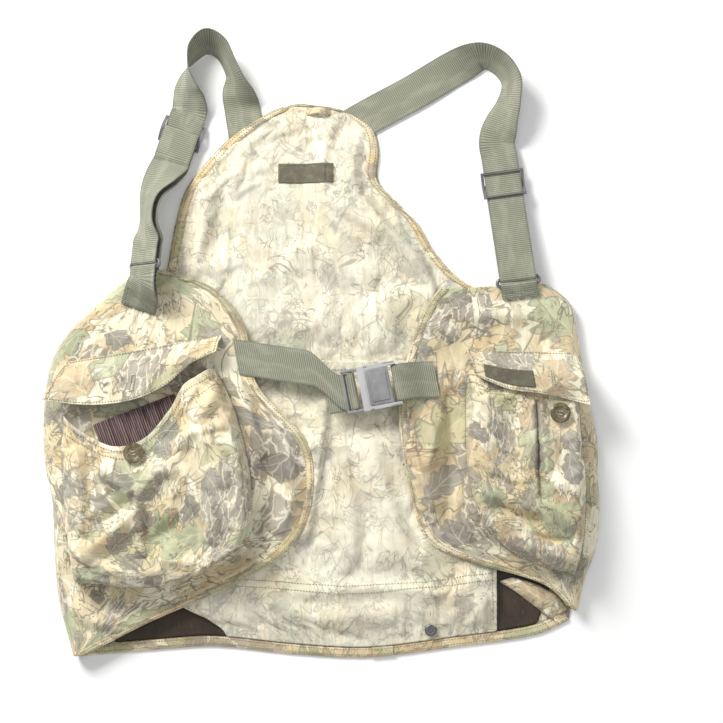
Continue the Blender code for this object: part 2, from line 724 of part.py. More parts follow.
left_strap = ShoulderStrap("left", Route(
    (-0.079, 0.206, STRAP_Z, 0.99, 0.06, 0.00),
    (-0.081, 0.226, STRAP_Z, 0.99, 0.06, 0.00),
    (-0.083, 0.238, STRAP_Z, 0.99, 0.06, 0.00),
    (-0.0850, 0.251, STRAP_Z, 0.99, 0.06, 0.00),
    (-0.0880, 0.264, STRAP_Z, 0.86, 0.08, 0.45),
    (-0.0915, 0.277, SLACK_Z, 0.52, 0.10, 0.84),
    (-0.096, 0.290, SLACK_Z, 0.33, 0.18, 0.92),
    (-0.106, 0.310, SLACK_Z, 0.22, 0.42, 0.88),
    (-0.121, 0.3180, SLACK_Z, -0.05, 0.52, 0.85),
    (-0.134, 0.308, SLACK_Z, -0.20, 0.22, 0.95),
    (-0.1415, 0.290, SLACK_Z, 0.16, 0.05, 0.98),
    (-0.1425, 0.270, SLACK_Z, 0.66, 0.05, 0.74),
    (-0.1405, 0.257, 0.004, 0.93, -0.12, 0.34),
    *level_run((-0.1400, 0.246, LEFT_RUN_Z), (-0.1600, 0.187, LEFT_RUN_Z), (0.947, -0.322, 0.0), 8),
    (-0.1680, 0.168, 0.008, 0.84, -0.28, 0.46),
    (-0.1750, 0.146, 0.010, 0.50, -0.10, 0.86),
    (-0.1770, 0.122, 0.014, 0.44, 0.00, 0.90),
    *level_run((-0.1775, 0.106, 0.020), (-0.1815, 0.062, 0.0245), (0.74, -0.06, 0.67), 6),
    (-0.1840, 0.053, 0.0235, 0.88, -0.22, 0.42),
    (-0.1870, 0.045, 0.021, 0.94, -0.28, 0.16),
    (-0.1905, 0.036, LEFT_TAB_Z, 0.96, -0.28, 0.00)),
    glide=(-0.1480, 0.222), tab_length=plan(0, LEFT_TAB_LENGTH).y, face=-1)


# ---------------------------------------------------------------- garment
def build_back():
    hole = circle(plan(*SNAP_AT), SNAP_POST_DIAMETER / 2 + GAP)
    flat_plate("back_panel", [back_outline(), hole], 0.0, CLOTH, CAMO)
    line = []
    for k in range(33):
        share = 0.02 + 0.96 * k / 32
        line.append(bib_edge.at(share) + bib_edge.right_of(share) * LINING_INSET)
    line += [plan(*corner) for corner in LINING_CORNERS]
    flat_plate("back_lining", [line], LINING_Z, LINING, CAMO_PALE)
    tape_z = LINING_TOP + GAP + TAPE / 2

    def tape(u, v):
        share = 0.03 + 0.94 * v
        across = bib_edge.right_of(share) * TAPE_WIDTH * u
        return bib_edge.at(share) + across + Vector((0, 0, tape_z))
    sheet("back_binding", tape, 1, 44, TAPE, BINDING)

    loop_z = LINING_TOP + 2 * GAP + TAPE

    def loop(u, v):
        middle = plan(*HANG_LOOP_AT)
        along = (v - 0.5) * LOOP_LENGTH
        lift = loop_z + TAPE / 2 + LOOP_RISE * math.sin(math.pi * v)
        return Vector((middle.x + along, middle.y + (u - 0.5) * LOOP_WIDTH, lift))
    sheet("hang_loop", loop, 1, 10, TAPE, BINDING)


def bag_height(u, v):
    """The game bag's inner panel: flat at its top seam and hem, full between, open at its sides."""
    full = BAG_FULLNESS * math.sin(math.pi * min(max(v, 0.0), 1.0)) ** 0.8
    mouth = BAG_MOUTH * max(ease((u - 0.55) / 0.3), ease((0.3 - u) / 0.3))
    return LINING_Z + LINING / 2 + full + mouth * ease(v / 0.3)


def bag_surface(u, v):
    x = BAG_SIDES[0] + (BAG_SIDES[1] - BAG_SIDES[0]) * u
    hem = hem_edge.at((x - HEM_ENDS[0]) / (HEM_ENDS[1] - HEM_ENDS[0]))
    top = plan(x, BAG_TOP_Y)
    foot = hem + Vector((0, TAPE_WIDTH + GAP, 0))
    point = top.lerp(foot, v)
    return Vector((point.x, point.y, bag_height(u, v)))


def build_game_bag():
    sheet("game_bag_panel", bag_surface, 16, 14, LINING, CAMO_PALE)
    inset = plan(SIDE_ROLL * 0.6 + LINER_INSET, 0.0)
    line = [left_side.at(0.30 + 0.66 * k / 10) + inset for k in range(11)]
    for k in range(19):
        share = 0.07 + 0.86 * k / 18
        line.append(hem_edge.at(share) - hem_edge.right_of(share) * (TAPE_WIDTH + 2 * GAP))
    line += [right_side.at(0.98 - 0.66 * k / 10) - inset for k in range(11)]
    hole = circle(plan(*SNAP_AT), SNAP_DIAMETER / 2 + GAP)
    flat_plate("game_bag_liner", [line, hole], CLOTH + GAP, LINER, BROWN_LINER)
    tape_z = CLOTH + GAP + TAPE / 2

    def tape(u, v):
        share = 0.02 + 0.96 * v
        across = hem_edge.right_of(share) * -(TAPE_WIDTH - GAP) * (0.05 + 0.95 * u)
        return hem_edge.at(share) + across + Vector((0, 0, tape_z))
    sheet("hem_binding", tape, 1, 36, TAPE, BINDING)

    def overlap(u, v):
        point = tape(0.1 + 0.8 * u, 0.60 + 0.04 * v)
        return point + Vector((0, 0, TAPE + GAP))
    sheet("hem_binding_end", overlap, 1, 2, TAPE, BINDING)


def edge_tape(name, surface):
    """Tape laid along a front panel's inner edge, over the cloth."""
    def tape(u, v):
        here = surface(1.0, v)
        back = surface(0.9, v)
        inward = Vector((back.x - here.x, back.y - here.y, 0.0)).normalized()
        point = here + inward * TAPE_WIDTH * u
        return Vector((point.x, point.y, ON_FRONT + TAPE / 2))
    sheet(name, tape, 1, 30, TAPE, BINDING)


def build_front(side, side_line, edge_line, outward):
    surface = front_surface(side_line, edge_line, outward)
    sheet(f"{side}_front_panel", surface, 18, 18, CLOTH, CAMO)
    edge_tape(f"{side}_front_binding", surface)


def build_elastic(side, start, end):
    """Shell loops: a band of elastic across the inside of the pocket."""
    one = plan(*start)
    two = plan(*end)
    down = (two - one).cross(Vector((0, 0, 1))).normalized()
    floor = ON_FRONT + ELASTIC / 2

    def band(u, v):
        point = one.lerp(two, v) + down * (u - 0.5) * ELASTIC_WIDTH
        wave = ELASTIC_WAVE * (1 - math.cos(SHELL_LOOPS * math.tau * v)) / 2
        return Vector((point.x, point.y, floor + wave))
    sheet(f"{side}_shell_elastic", band, 1, 30, ELASTIC, PLUM_ELASTIC)


def build_button(side, pocket, u, v):
    """A four-hole button on its thread, standing on the pocket's cloth."""
    radius = BUTTON_DIAMETER / 2
    rim = radius * 0.86
    thick = BUTTON_THICKNESS
    button = turned(f"{side}_pocket_button", [
        (0.0, thick * 0.70), (radius * 0.50, thick * 0.70), (radius * 0.66, thick * 0.95),
        (rim, thick), (radius, thick * 0.70), (radius, thick * 0.35), (rim, 0.0), (0.0, 0.0)],
        28, HORN)
    holes = [(x * BUTTON_HOLE_SPREAD, y * BUTTON_HOLE_SPREAD) for x in (-1, 1) for y in (-1, 1)]
    for x, y in holes:
        hole = rod("button_hole", BUTTON_HOLE / 2, -thick, thick * 2, "Z", 10, group=cutters,
                   at=(x, y, 0))
        combine(button, hole, "DIFFERENCE")
    reach = BUTTON_HOLE_SPREAD + THREAD
    top = thick * 0.70 + GAP
    thread = block(f"{side}_button_thread", (-reach, -reach, -GAP - THREAD),
                   (reach, reach, -GAP), PALE_THREAD)
    half = THREAD / 2
    for x, y in holes:
        leg = block("thread_leg", (x - half, y - half, -GAP - half), (x + half, y + half, top + half))
        combine(thread, leg, "UNION")
    for y in (-BUTTON_HOLE_SPREAD, BUTTON_HOLE_SPREAD):
        bar = block("thread_bar", (-reach, y - THREAD * 0.6, top),
                    (reach, y + THREAD * 0.6, top + THREAD))
        combine(thread, bar, "UNION")
    up = pocket.normal(u, v)
    seat = pocket.surface(u, v) + up * (CLOTH / 2 + 3 * GAP + THREAD)
    frame = Matrix.Translation(seat) @ up.to_track_quat("Z", "Y").to_matrix().to_4x4()
    place(button, frame)
    place(thread, frame)


def build_labels():
    tab_shift = LABEL_LENGTH / 2 + GAP + SIZE_TAB_WIDTH / 2
    for name, shift, width in (("back_label", 0.0, LABEL_LENGTH),
                               ("size_tab", tab_shift, SIZE_TAB_WIDTH)):
        corner = Vector((width / 2, LABEL_WIDTH / 2, LABEL))
        label = block(name, (-corner.x, -corner.y, 0.0), corner, WOVEN_LABEL)
        label.location = plan(*BACK_LABEL_AT, LINING_TOP + GAP) + Vector((shift, 0, 0))

    def patch(u, v):
        spot = (0.10 + 0.44 * u, 0.52 + 0.40 * v)
        return right_flap.above(*spot, CLOTH / 2 + 2 * GAP + LABEL / 2)
    sheet("pocket_label", patch, 6, 3, LABEL, WOVEN_LABEL, origin=right_flap.seam_middle())


def build_snap():
    """Post through the back, stud, socket under the bag's panel and cap over it."""
    centre = plan(*SNAP_AT)
    post = SNAP_POST_DIAMETER / 2
    radius = SNAP_DIAMETER / 2
    u = (SNAP_AT[0] - BAG_SIDES[0]) / (BAG_SIDES[1] - BAG_SIDES[0])
    top = bag_surface(u, 0.0).y
    foot = bag_surface(u, 1.0).y
    reach = 1.6 * radius / plan(BAG_SIDES[1] - BAG_SIDES[0], 0).x
    fall = 1.6 * radius / (top - foot)
    v = (top - centre.y) / (top - foot)
    heights = [bag_height(u + reach * i, v + fall * j) for i in (-1, 0, 1) for j in (-1, 0, 1)]
    cap_z = max(heights) + LINING / 2 + GAP
    stud_z = CLOTH + GAP
    socket_z = stud_z + STUD_RIM + GAP
    socket_height = min(heights) - LINING / 2 - GAP - socket_z
    bulb = post * 0.75
    bore = bulb + GAP
    shell = radius * 0.85
    parts = (
        ("snap_post", GAP, [(0, CLOTH - GAP), (post, CLOTH - GAP), (post, 0), (0, 0)]),
        ("snap_stud", stud_z, [(0, STUD_HEIGHT), (post * 0.6, STUD_HEIGHT), (bulb, STUD_HEIGHT * 0.7),
                               (post * 0.6, STUD_RIM), (radius * 0.9, STUD_RIM), (radius * 0.9, 0),
                               (0, 0)]),
        ("snap_socket", socket_z, [(bore, socket_height), (shell, socket_height), (shell, 0),
                                   (bore, 0), (bore, socket_height)]),
        ("snap_cap", cap_z, [(0, CAP_HEIGHT * 0.55), (radius * 0.34, CAP_HEIGHT * 0.55),
                             (radius * 0.42, CAP_HEIGHT * 0.9), (radius * 0.8, CAP_HEIGHT),
                             (radius, CAP_HEIGHT * 0.45), (radius, 0), (0, 0)]),
    )
    for name, z, profile in parts:
        made = turned(name, profile, 24, GUNMETAL)
        made.location = centre + Vector((0, 0, z))


# ---------------------------------------------------------------- chest buckle
def buckle_frame():
    middle = plan(*BUCKLE_AT, BUCKLE_Z)
    return Matrix.Translation(middle) @ Matrix.Rotation(BUCKLE_ANGLE, 4, "Z")


def build_socket(frame):
    socket = block("buckle_socket", (0, -HALF_WIDTH, -HALF_THICK),
                   (SOCKET_LENGTH, HALF_WIDTH, HALF_THICK), BUCKLE_GREY)
    combine(socket, block("socket_hollow", (-BUCKLE_WALL, -CAVITY_HALF, -HALF_THICK + BUCKLE_WALL),
                          (SOCKET_DEPTH, CAVITY_HALF, HALF_THICK - BUCKLE_WALL)), "DIFFERENCE")
    window = (PAD_START - LATCH_PLAY, PAD_START + PAD_LENGTH + 2 * LATCH_PLAY)
    half = ARM_THICKNESS / 2 + LATCH_PLAY
    combine(socket, block("socket_windows", (window[0], -BUCKLE_WIDTH, -half),
                          (window[1], BUCKLE_WIDTH, half)), "DIFFERENCE")
    slot = SOCKET_DEPTH + BUCKLE_WALL
    combine(socket, block("socket_slot", (slot, -SLOT_HALF, -THROUGH),
                          (slot + SLOT, SLOT_HALF, THROUGH)), "DIFFERENCE")
    for low, high in ((-THROUGH, -BAR_HALF), (BAR_HALF, THROUGH)):
        trim = block("end_bar_trim", (slot + SLOT * 0.98, -SLOT_HALF, low),
                     (SOCKET_LENGTH + THROUGH, SLOT_HALF, high))
        combine(socket, trim, "DIFFERENCE")
    place(socket, frame)


def build_plug(frame):
    front = -GAP
    plug = block("buckle_plug", (REAR_X, -HALF_WIDTH, -BAR_HALF), (front, HALF_WIDTH, BAR_HALF),
                 BUCKLE_GREY)
    combine(plug, block("plug_nose", (-PLUG_NOSE, -HALF_WIDTH, -HALF_THICK),
                        (front, HALF_WIDTH, HALF_THICK)), "UNION")
    combine(plug, block("plug_tongue", (front - BUCKLE_WALL, -TONGUE_WIDTH / 2, -BAR_HALF),
                        (TONGUE_LENGTH, TONGUE_WIDTH / 2, BAR_HALF)), "UNION")
    for start in (LADDER_X + LADDER_BAR / 2, REAR_X + END_BAR):
        slot = block("plug_slot", (start, -SLOT_HALF, -THROUGH), (start + SLOT, SLOT_HALF, THROUGH))
        combine(plug, slot, "DIFFERENCE")
    place(plug, frame)
    half = ARM_THICKNESS / 2
    proud = CAVITY_HALF + PAD_PROUD - ARM_SEAT
    for name, hand in (("upper_buckle_arm", 1), ("lower_buckle_arm", -1)):
        arm = block(name, (0, 0, -half), (ARM_LENGTH, ARM_WIDTH, half), BUCKLE_GREY)
        pad = block("arm_pad", (PAD_START, ARM_WIDTH / 2, -half),
                    (PAD_START + PAD_LENGTH, proud, half))
        combine(arm, pad, "UNION")
        seat = frame @ Matrix.Translation((GAP / 2, hand * ARM_SEAT, 0))
        if hand < 0:
            seat = seat @ Matrix.Rotation(math.pi, 4, "X")
        place(arm, seat)


def local_ribbon(name, frame, path, bend):
    """Chest webbing along (x, height) points of the buckle's frame, moved by bend(point)."""
    def surface(u, v):
        x, z = on_path(path, v)
        return frame @ bend(Vector((x, (u - 0.5) * WEBBING_WIDTH, z)))
    sheet(name, surface, 2, len(path) - 1, WEBBING, SAGE)


def build_right_chest_webbing(frame):
    """Round the socket's end bar and down to the right front's edge."""
    bar_x = SOCKET_LENGTH - END_BAR / 2
    sewn_z = ON_TAPE + WEBBING / 2 - BUCKLE_Z
    reach = plan(CHEST_SEWN_X - BUCKLE_AT[0], 0).x
    path = [(bar_x + 0.008, -END_WRAP)]
    turn = half_turn((0.0, 0.0), END_WRAP, 8)
    path += [(bar_x - distance, z) for distance, z in reversed(turn)]
    for k in range(1, 9):
        share = k / 8
        fall = (sewn_z - END_WRAP) * ease(share * 1.3)
        path.append((bar_x + (reach - bar_x) * share, END_WRAP + fall))
    start = bar_x + 0.004

    def turn_level(point):
        if point.x < start:
            return point
        swing = -BUCKLE_ANGLE * ease((point.x - start) / (reach - start))
        return Vector((point.x, point.y + (point.x - start) * math.tan(swing) / 2, point.z))
    local_ribbon("right_chest_webbing", frame, path, turn_level)


def build_left_chest_webbing(frame):
    """Under the rear bar, over the ladder bar, and back out below as the loose tail."""
    under = -BAR_HALF - GAP - WEBBING / 2
    below = under - WEBBING - 3 * GAP
    anchor = frame.inverted() @ plan(*LEFT_CHEST_END, ON_TAPE + WEBBING / 2)
    path = []
    for k in range(15):
        share = k / 14
        x = anchor.x + (REAR_X - anchor.x) * share
        path.append((x, anchor.z + (under - anchor.z) * ease((share - 0.20) / 0.50)))
    path.append((REAR_X + END_BAR, under))
    for k in range(9):
        angle = math.pi * k / 8
        path.append((LADDER_X - LADDER_WRAP * math.cos(angle), LADDER_WRAP * math.sin(angle)))
    path.append((LADDER_X + LADDER_WRAP * 0.95, below * 0.5))
    path.append((LADDER_X + LADDER_WRAP * 0.6, below))
    path.append((LADDER_X, below))
    slope = math.tan(CHEST_FALL + BUCKLE_ANGLE)
    jog = anchor.y - slope * (REAR_X - anchor.x)

    def fall_away(point):
        out = REAR_X - point.x
        if out < 0:
            return point
        shift = jog * ease(out / CHEST_JOG_LENGTH) + slope * out
        return Vector((point.x, point.y + shift, point.z))
    local_ribbon("left_chest_webbing", frame, path, fall_away)
    tail = [(LADDER_X - GAP, below), (REAR_X, below), (REAR_X - CHEST_TAIL, below)]
    local_ribbon("chest_webbing_tail", frame, tail, lambda point: point)


def main():
    clear_scene()
    build_back()
    build_game_bag()
    build_front("left", left_side, left_edge, Vector((-1, 0, 0)))
    build_front("right", right_side, right_edge, Vector((1, 0, 0)))
    for side, pocket in (("left", left_pocket), ("right", right_pocket)):
        sheet(f"{side}_pocket_bag", pocket.surface, 18, 16, CLOTH, CAMO)
    build_elastic("left", (-0.232, -0.098), (-0.150, -0.066))
    build_elastic("right", (0.170, -0.090), (0.255, -0.094))
    build_button("left", left_pocket, 0.43, 0.055)
    build_button("right", right_pocket, 0.78, 0.14)
    for side, flap in (("left", left_flap), ("right", right_flap)):
        sheet(f"{side}_pocket_flap", flap.surface, 14, 8, CLOTH, CAMO, origin=flap.seam_middle())
    build_labels()
    build_snap()
    right_strap.build()
    left_strap.build()
    frame = buckle_frame()
    build_socket(frame)
    build_plug(frame)
    build_right_chest_webbing(frame)
    build_left_chest_webbing(frame)


main()
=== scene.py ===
import math

import bmesh
import bpy
import numpy as np
from mathutils import Matrix, Vector, noise
from mathutils.bvhtree import BVHTree


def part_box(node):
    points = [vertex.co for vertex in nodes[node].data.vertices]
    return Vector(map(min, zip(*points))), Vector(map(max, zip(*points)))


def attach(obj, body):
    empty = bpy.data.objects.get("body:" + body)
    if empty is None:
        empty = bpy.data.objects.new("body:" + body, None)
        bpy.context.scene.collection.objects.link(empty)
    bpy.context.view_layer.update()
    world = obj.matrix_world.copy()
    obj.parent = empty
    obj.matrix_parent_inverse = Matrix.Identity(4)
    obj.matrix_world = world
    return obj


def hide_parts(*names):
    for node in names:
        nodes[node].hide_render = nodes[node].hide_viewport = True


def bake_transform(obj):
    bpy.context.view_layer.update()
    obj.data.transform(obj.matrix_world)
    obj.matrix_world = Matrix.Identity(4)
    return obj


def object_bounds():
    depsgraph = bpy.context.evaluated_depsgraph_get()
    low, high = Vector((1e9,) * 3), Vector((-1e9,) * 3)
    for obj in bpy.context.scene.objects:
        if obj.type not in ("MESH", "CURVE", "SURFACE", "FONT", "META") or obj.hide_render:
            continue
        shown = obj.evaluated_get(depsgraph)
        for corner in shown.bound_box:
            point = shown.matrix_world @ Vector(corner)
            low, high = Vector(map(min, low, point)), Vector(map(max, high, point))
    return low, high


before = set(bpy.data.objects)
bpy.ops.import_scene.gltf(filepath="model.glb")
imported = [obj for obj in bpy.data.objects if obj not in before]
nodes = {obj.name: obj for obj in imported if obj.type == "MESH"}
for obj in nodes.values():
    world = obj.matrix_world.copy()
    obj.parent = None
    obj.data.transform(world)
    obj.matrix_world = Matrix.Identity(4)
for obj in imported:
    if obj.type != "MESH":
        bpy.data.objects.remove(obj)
cadLow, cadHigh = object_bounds()
tau = math.tau

# The outlines below were drafted at this size, in metres, and are fitted to the frame's own.
drafted = {"width": 0.5802, "length": 0.6559}
widthFit = (cadHigh.x - cadLow.x) / drafted["width"]
lengthFit = (cadHigh.y - cadLow.y) / drafted["length"]

camera = {"target": (0.042, -0.0205, 0.010), "distance": 1.79, "elevation": 86.5, "lens": 85}
lights = [
    # name, place, size, watts, colour
    ("keyLight", (-1.05, 1.25, 1.35), 0.85, 58, (1.0, 0.985, 0.96)),
    ("fillLight", (1.3, 0.2, 1.4), 1.4, 7, (0.96, 0.98, 1.0)),
    ("footLight", (0.1, -1.6, 1.1), 1.3, 3, (1.0, 1.0, 1.0)),
    ("topLight", (0.0, 0.0, 2.4), 1.6, 7, (1.0, 1.0, 1.0)),
]


def fit(x, y, z=0.0):
    return Vector((x * widthFit, y * lengthFit, z))


def ease(t):
    t = min(max(t, 0.0), 1.0)
    return t * t * (3 - 2 * t)


def mix(a, b, t):
    return a + (b - a) * t


def setStage():
    scene = bpy.context.scene
    scene.view_settings.view_transform = "Standard"
    bpy.ops.mesh.primitive_plane_add(size=12, location=(0, 0, 0))
    floor = bpy.context.object
    floor.name = "paleFloor"
    paint = bpy.data.materials.new("paleFloor")
    paint.use_nodes = True
    shader = paint.node_tree.nodes["Principled BSDF"]
    shader.inputs["Base Color"].default_value = (0.97, 0.97, 0.97, 1)
    shader.inputs["Roughness"].default_value = 0.9
    floor.data.materials.append(paint)
    world = bpy.data.worlds.new("softRoom")
    scene.world = world
    world.use_nodes = True
    sky = world.node_tree.nodes["Background"]
    sky.inputs["Color"].default_value = (0.98, 0.99, 1.0, 1)
    sky.inputs["Strength"].default_value = 0.30
    for name, place, size, watts, colour in lights:
        data = bpy.data.lights.new(name, "AREA")
        data.size = size
        data.energy = watts
        data.color = colour
        lamp = bpy.data.objects.new(name, data)
        scene.collection.objects.link(lamp)
        lamp.location = place
        lamp.rotation_euler = (-Vector(place)).to_track_quat("-Z", "Y").to_euler()
    data = bpy.data.cameras.new("overhead")
    data.lens = camera["lens"]
    data.sensor_width = 36
    eye = bpy.data.objects.new("overhead", data)
    scene.collection.objects.link(eye)
    rise = math.radians(camera["elevation"])
    away = camera["distance"] * Vector((0, -math.cos(rise), math.sin(rise)))
    eye.location = Vector(camera["target"]) + away
    eye.rotation_euler = (math.pi / 2 - rise, 0, 0)
    scene.camera = eye
    print("stage set")


# Materials are laid out through these few calls.
def feed(tree, socket, value):
    if isinstance(value, bpy.types.NodeSocket):
        tree.links.new(value, socket)
    elif value is not None:
        if socket.type == "RGBA" and len(value) == 3:
            value = (*value, 1)
        socket.default_value = value


def maths(tree, operation, a, b=None, c=None):
    made = tree.nodes.new("ShaderNodeMath")
    made.operation = operation
    for socket, value in zip(made.inputs, (a, b, c)):
        feed(tree, socket, value)
    return made.outputs[0]


def vectorMaths(tree, operation, a, b=None, scale=None):
    made = tree.nodes.new("ShaderNodeVectorMath")
    made.operation = operation
    feed(tree, made.inputs[0], a)
    feed(tree, made.inputs[1], b)
    if scale is not None:
        feed(tree, made.inputs["Scale"], scale)
    return made.outputs["Value"] if operation in ("LENGTH", "DISTANCE") else made.outputs["Vector"]


def stretched(tree, where, x, y, z=1.0):
    return vectorMaths(tree, "MULTIPLY", where, (x, y, z))


def blendColour(tree, share, a, b, mode="MIX"):
    made = tree.nodes.new("ShaderNodeMix")
    made.data_type = "RGBA"
    made.blend_type = mode
    feed(tree, made.inputs[0], share)
    feed(tree, made.inputs[6], a)
    feed(tree, made.inputs[7], b)
    return made.outputs[2]


def between(tree, value, low, high, toLow=0.0, toHigh=1.0, smooth=True):
    made = tree.nodes.new("ShaderNodeMapRange")
    made.interpolation_type = "SMOOTHSTEP" if smooth else "LINEAR"
    for socket, number in zip(made.inputs, (value, low, high, toLow, toHigh)):
        feed(tree, socket, number)
    return made.outputs[0]


def rampOf(tree, value, stops, steps=False):
    made = tree.nodes.new("ShaderNodeValToRGB")
    ramp = made.color_ramp
    ramp.interpolation = "CONSTANT" if steps else "LINEAR"
    while len(ramp.elements) < len(stops):
        ramp.elements.new(0.5)
    for element, (place, colour) in zip(ramp.elements, stops):
        element.position = place
        element.color = (*colour, 1)
    feed(tree, made.inputs[0], value)
    return made.outputs[0]


def noiseOf(tree, where, scale, detail=2.0, rough=0.5, bend=0.0, flat=True, colour=False):
    made = tree.nodes.new("ShaderNodeTexNoise")
    made.noise_dimensions = "2D" if flat else "3D"
    feed(tree, made.inputs["Vector"], where)
    made.inputs["Scale"].default_value = scale
    made.inputs["Detail"].default_value = detail
    made.inputs["Roughness"].default_value = rough
    made.inputs["Distortion"].default_value = bend
    return made.outputs["Color" if colour else "Fac"]


def cellsOf(tree, where, scale, feature="F1", scatter=1.0):
    made = tree.nodes.new("ShaderNodeTexVoronoi")
    made.voronoi_dimensions = "2D"
    made.feature = feature
    feed(tree, made.inputs["Vector"], where)
    made.inputs["Scale"].default_value = scale
    made.inputs["Randomness"].default_value = scatter
    return made


def partsOf(tree, vector):
    made = tree.nodes.new("ShaderNodeSeparateXYZ")
    feed(tree, made.inputs[0], vector)
    return made.outputs


def bumpOf(tree, height, strength, distance, under=None):
    made = tree.nodes.new("ShaderNodeBump")
    made.inputs["Strength"].default_value = strength
    made.inputs["Distance"].default_value = distance
    feed(tree, made.inputs["Height"], height)
    feed(tree, made.inputs["Normal"], under)
    return made.outputs[0]


def startMaterial(name, roughness=0.9):
    made = bpy.data.materials.new(name)
    made.use_nodes = True
    tree = made.node_tree
    shader = tree.nodes["Principled BSDF"]
    shader.inputs["Roughness"].default_value = roughness
    return made, tree, shader


def clothPlace(tree, name="cloth"):
    made = tree.nodes.new("ShaderNodeUVMap")
    made.uv_map = name
    return made.outputs[0]


def piecePlace(tree):
    return tree.nodes.new("ShaderNodeTexCoord").outputs["Object"]


# One printed leaf in each cell: its own turn, lobes, rib, veins and a thin dark outline.
def printLeaves(tree, where, colour, look, moods):
    shifted = vectorMaths(tree, "ADD", where, look["shift"])
    wobble = vectorMaths(tree, "SUBTRACT", noiseOf(tree, shifted, 26, 2, 0.5, colour=True), (0.5, 0.5, 0.5))
    shifted = vectorMaths(tree, "ADD", shifted, vectorMaths(tree, "SCALE", wobble, scale=look["wobble"]))
    cells = cellsOf(tree, shifted, 1 / look["cell"], scatter=0.85)
    local = vectorMaths(tree, "SUBTRACT", shifted, cells.outputs["Position"])
    local = vectorMaths(tree, "SCALE", local, scale=1 / look["cell"])
    pick = partsOf(tree, cells.outputs["Color"])
    present = maths(tree, "MULTIPLY_ADD", moods[look["mood"]], 0.8, pick[2])
    present = between(tree, maths(tree, "SUBTRACT", present, maths(tree, "MULTIPLY", moods[0], look["shy"])), look["bare"], look["bare"] + 0.01)
    turn = tree.nodes.new("ShaderNodeVectorRotate")
    turn.rotation_type = "Z_AXIS"
    feed(tree, turn.inputs["Vector"], local)
    feed(tree, turn.inputs["Angle"], maths(tree, "MULTIPLY_ADD", pick[0], look["swing"], look["lean"]))
    spot = partsOf(tree, turn.outputs[0])
    along = maths(tree, "DIVIDE", spot[0], look["reach"])
    off = maths(tree, "ABSOLUTE", spot[1])
    full = maths(tree, "SQRT", maths(tree, "MAXIMUM", maths(tree, "SUBTRACT", 1.0, maths(tree, "MULTIPLY", along, along)), 0.0))
    steep = maths(tree, "MULTIPLY", along, look["lobes"] * math.pi / 2)
    wave = maths(tree, "ABSOLUTE", maths(tree, "SINE", maths(tree, "MULTIPLY_ADD", off, look["slant"], steep)))
    lobed = maths(tree, "MULTIPLY_ADD", wave, 2 * look["lobeDepth"], 1 - look["lobeDepth"])
    edge = maths(tree, "MULTIPLY", maths(tree, "MULTIPLY", full, look["width"]), lobed)
    depth = maths(tree, "SUBTRACT", edge, off)
    inside = between(tree, depth, 0.0, 0.02)
    inside = maths(tree, "MULTIPLY", inside, present)
    outline = between(tree, maths(tree, "ABSOLUTE", depth), 0.012, 0.040, 1.0, 0.0)
    shown = maths(tree, "MULTIPLY", outline, present)
    rib = between(tree, off, 0.006, 0.022, 1.0, 0.0)
    slant = maths(tree, "FRACT", maths(tree, "MULTIPLY_ADD", off, 4.5, maths(tree, "MULTIPLY", along, look["lobes"] * 0.5)))
    veins = between(tree, maths(tree, "ABSOLUTE", maths(tree, "SUBTRACT", slant, 0.5)), 0.02, 0.07, 0.8, 0.0)
    lines = maths(tree, "MULTIPLY", maths(tree, "MAXIMUM", rib, veins), inside)
    leaf = rampOf(tree, pick[1], [(k / len(look["colours"]), c) for k, c in enumerate(look["colours"])], steps=True)
    mottle = noiseOf(tree, shifted, 60, 4, 0.65)
    leaf = blendColour(tree, between(tree, mottle, 0.35, 0.70, 0.0, 0.55), leaf, look["mottle"])
    half = between(tree, spot[1], -0.03, 0.03, 0.0, 0.25)
    leaf = blendColour(tree, half, leaf, look["shade"])
    leaf = blendColour(tree, between(tree, depth, 0.0, 0.10, 0.45, 0.0), leaf, look["shade"])
    colour = blendColour(tree, maths(tree, "MULTIPLY", inside, look["cover"]), colour, leaf)
    colour = blendColour(tree, maths(tree, "MULTIPLY", lines, look["lineCover"]), colour, look["veinColour"])
    return blendColour(tree, maths(tree, "MULTIPLY", shown, look["outline"]), colour, look["outlineColour"])


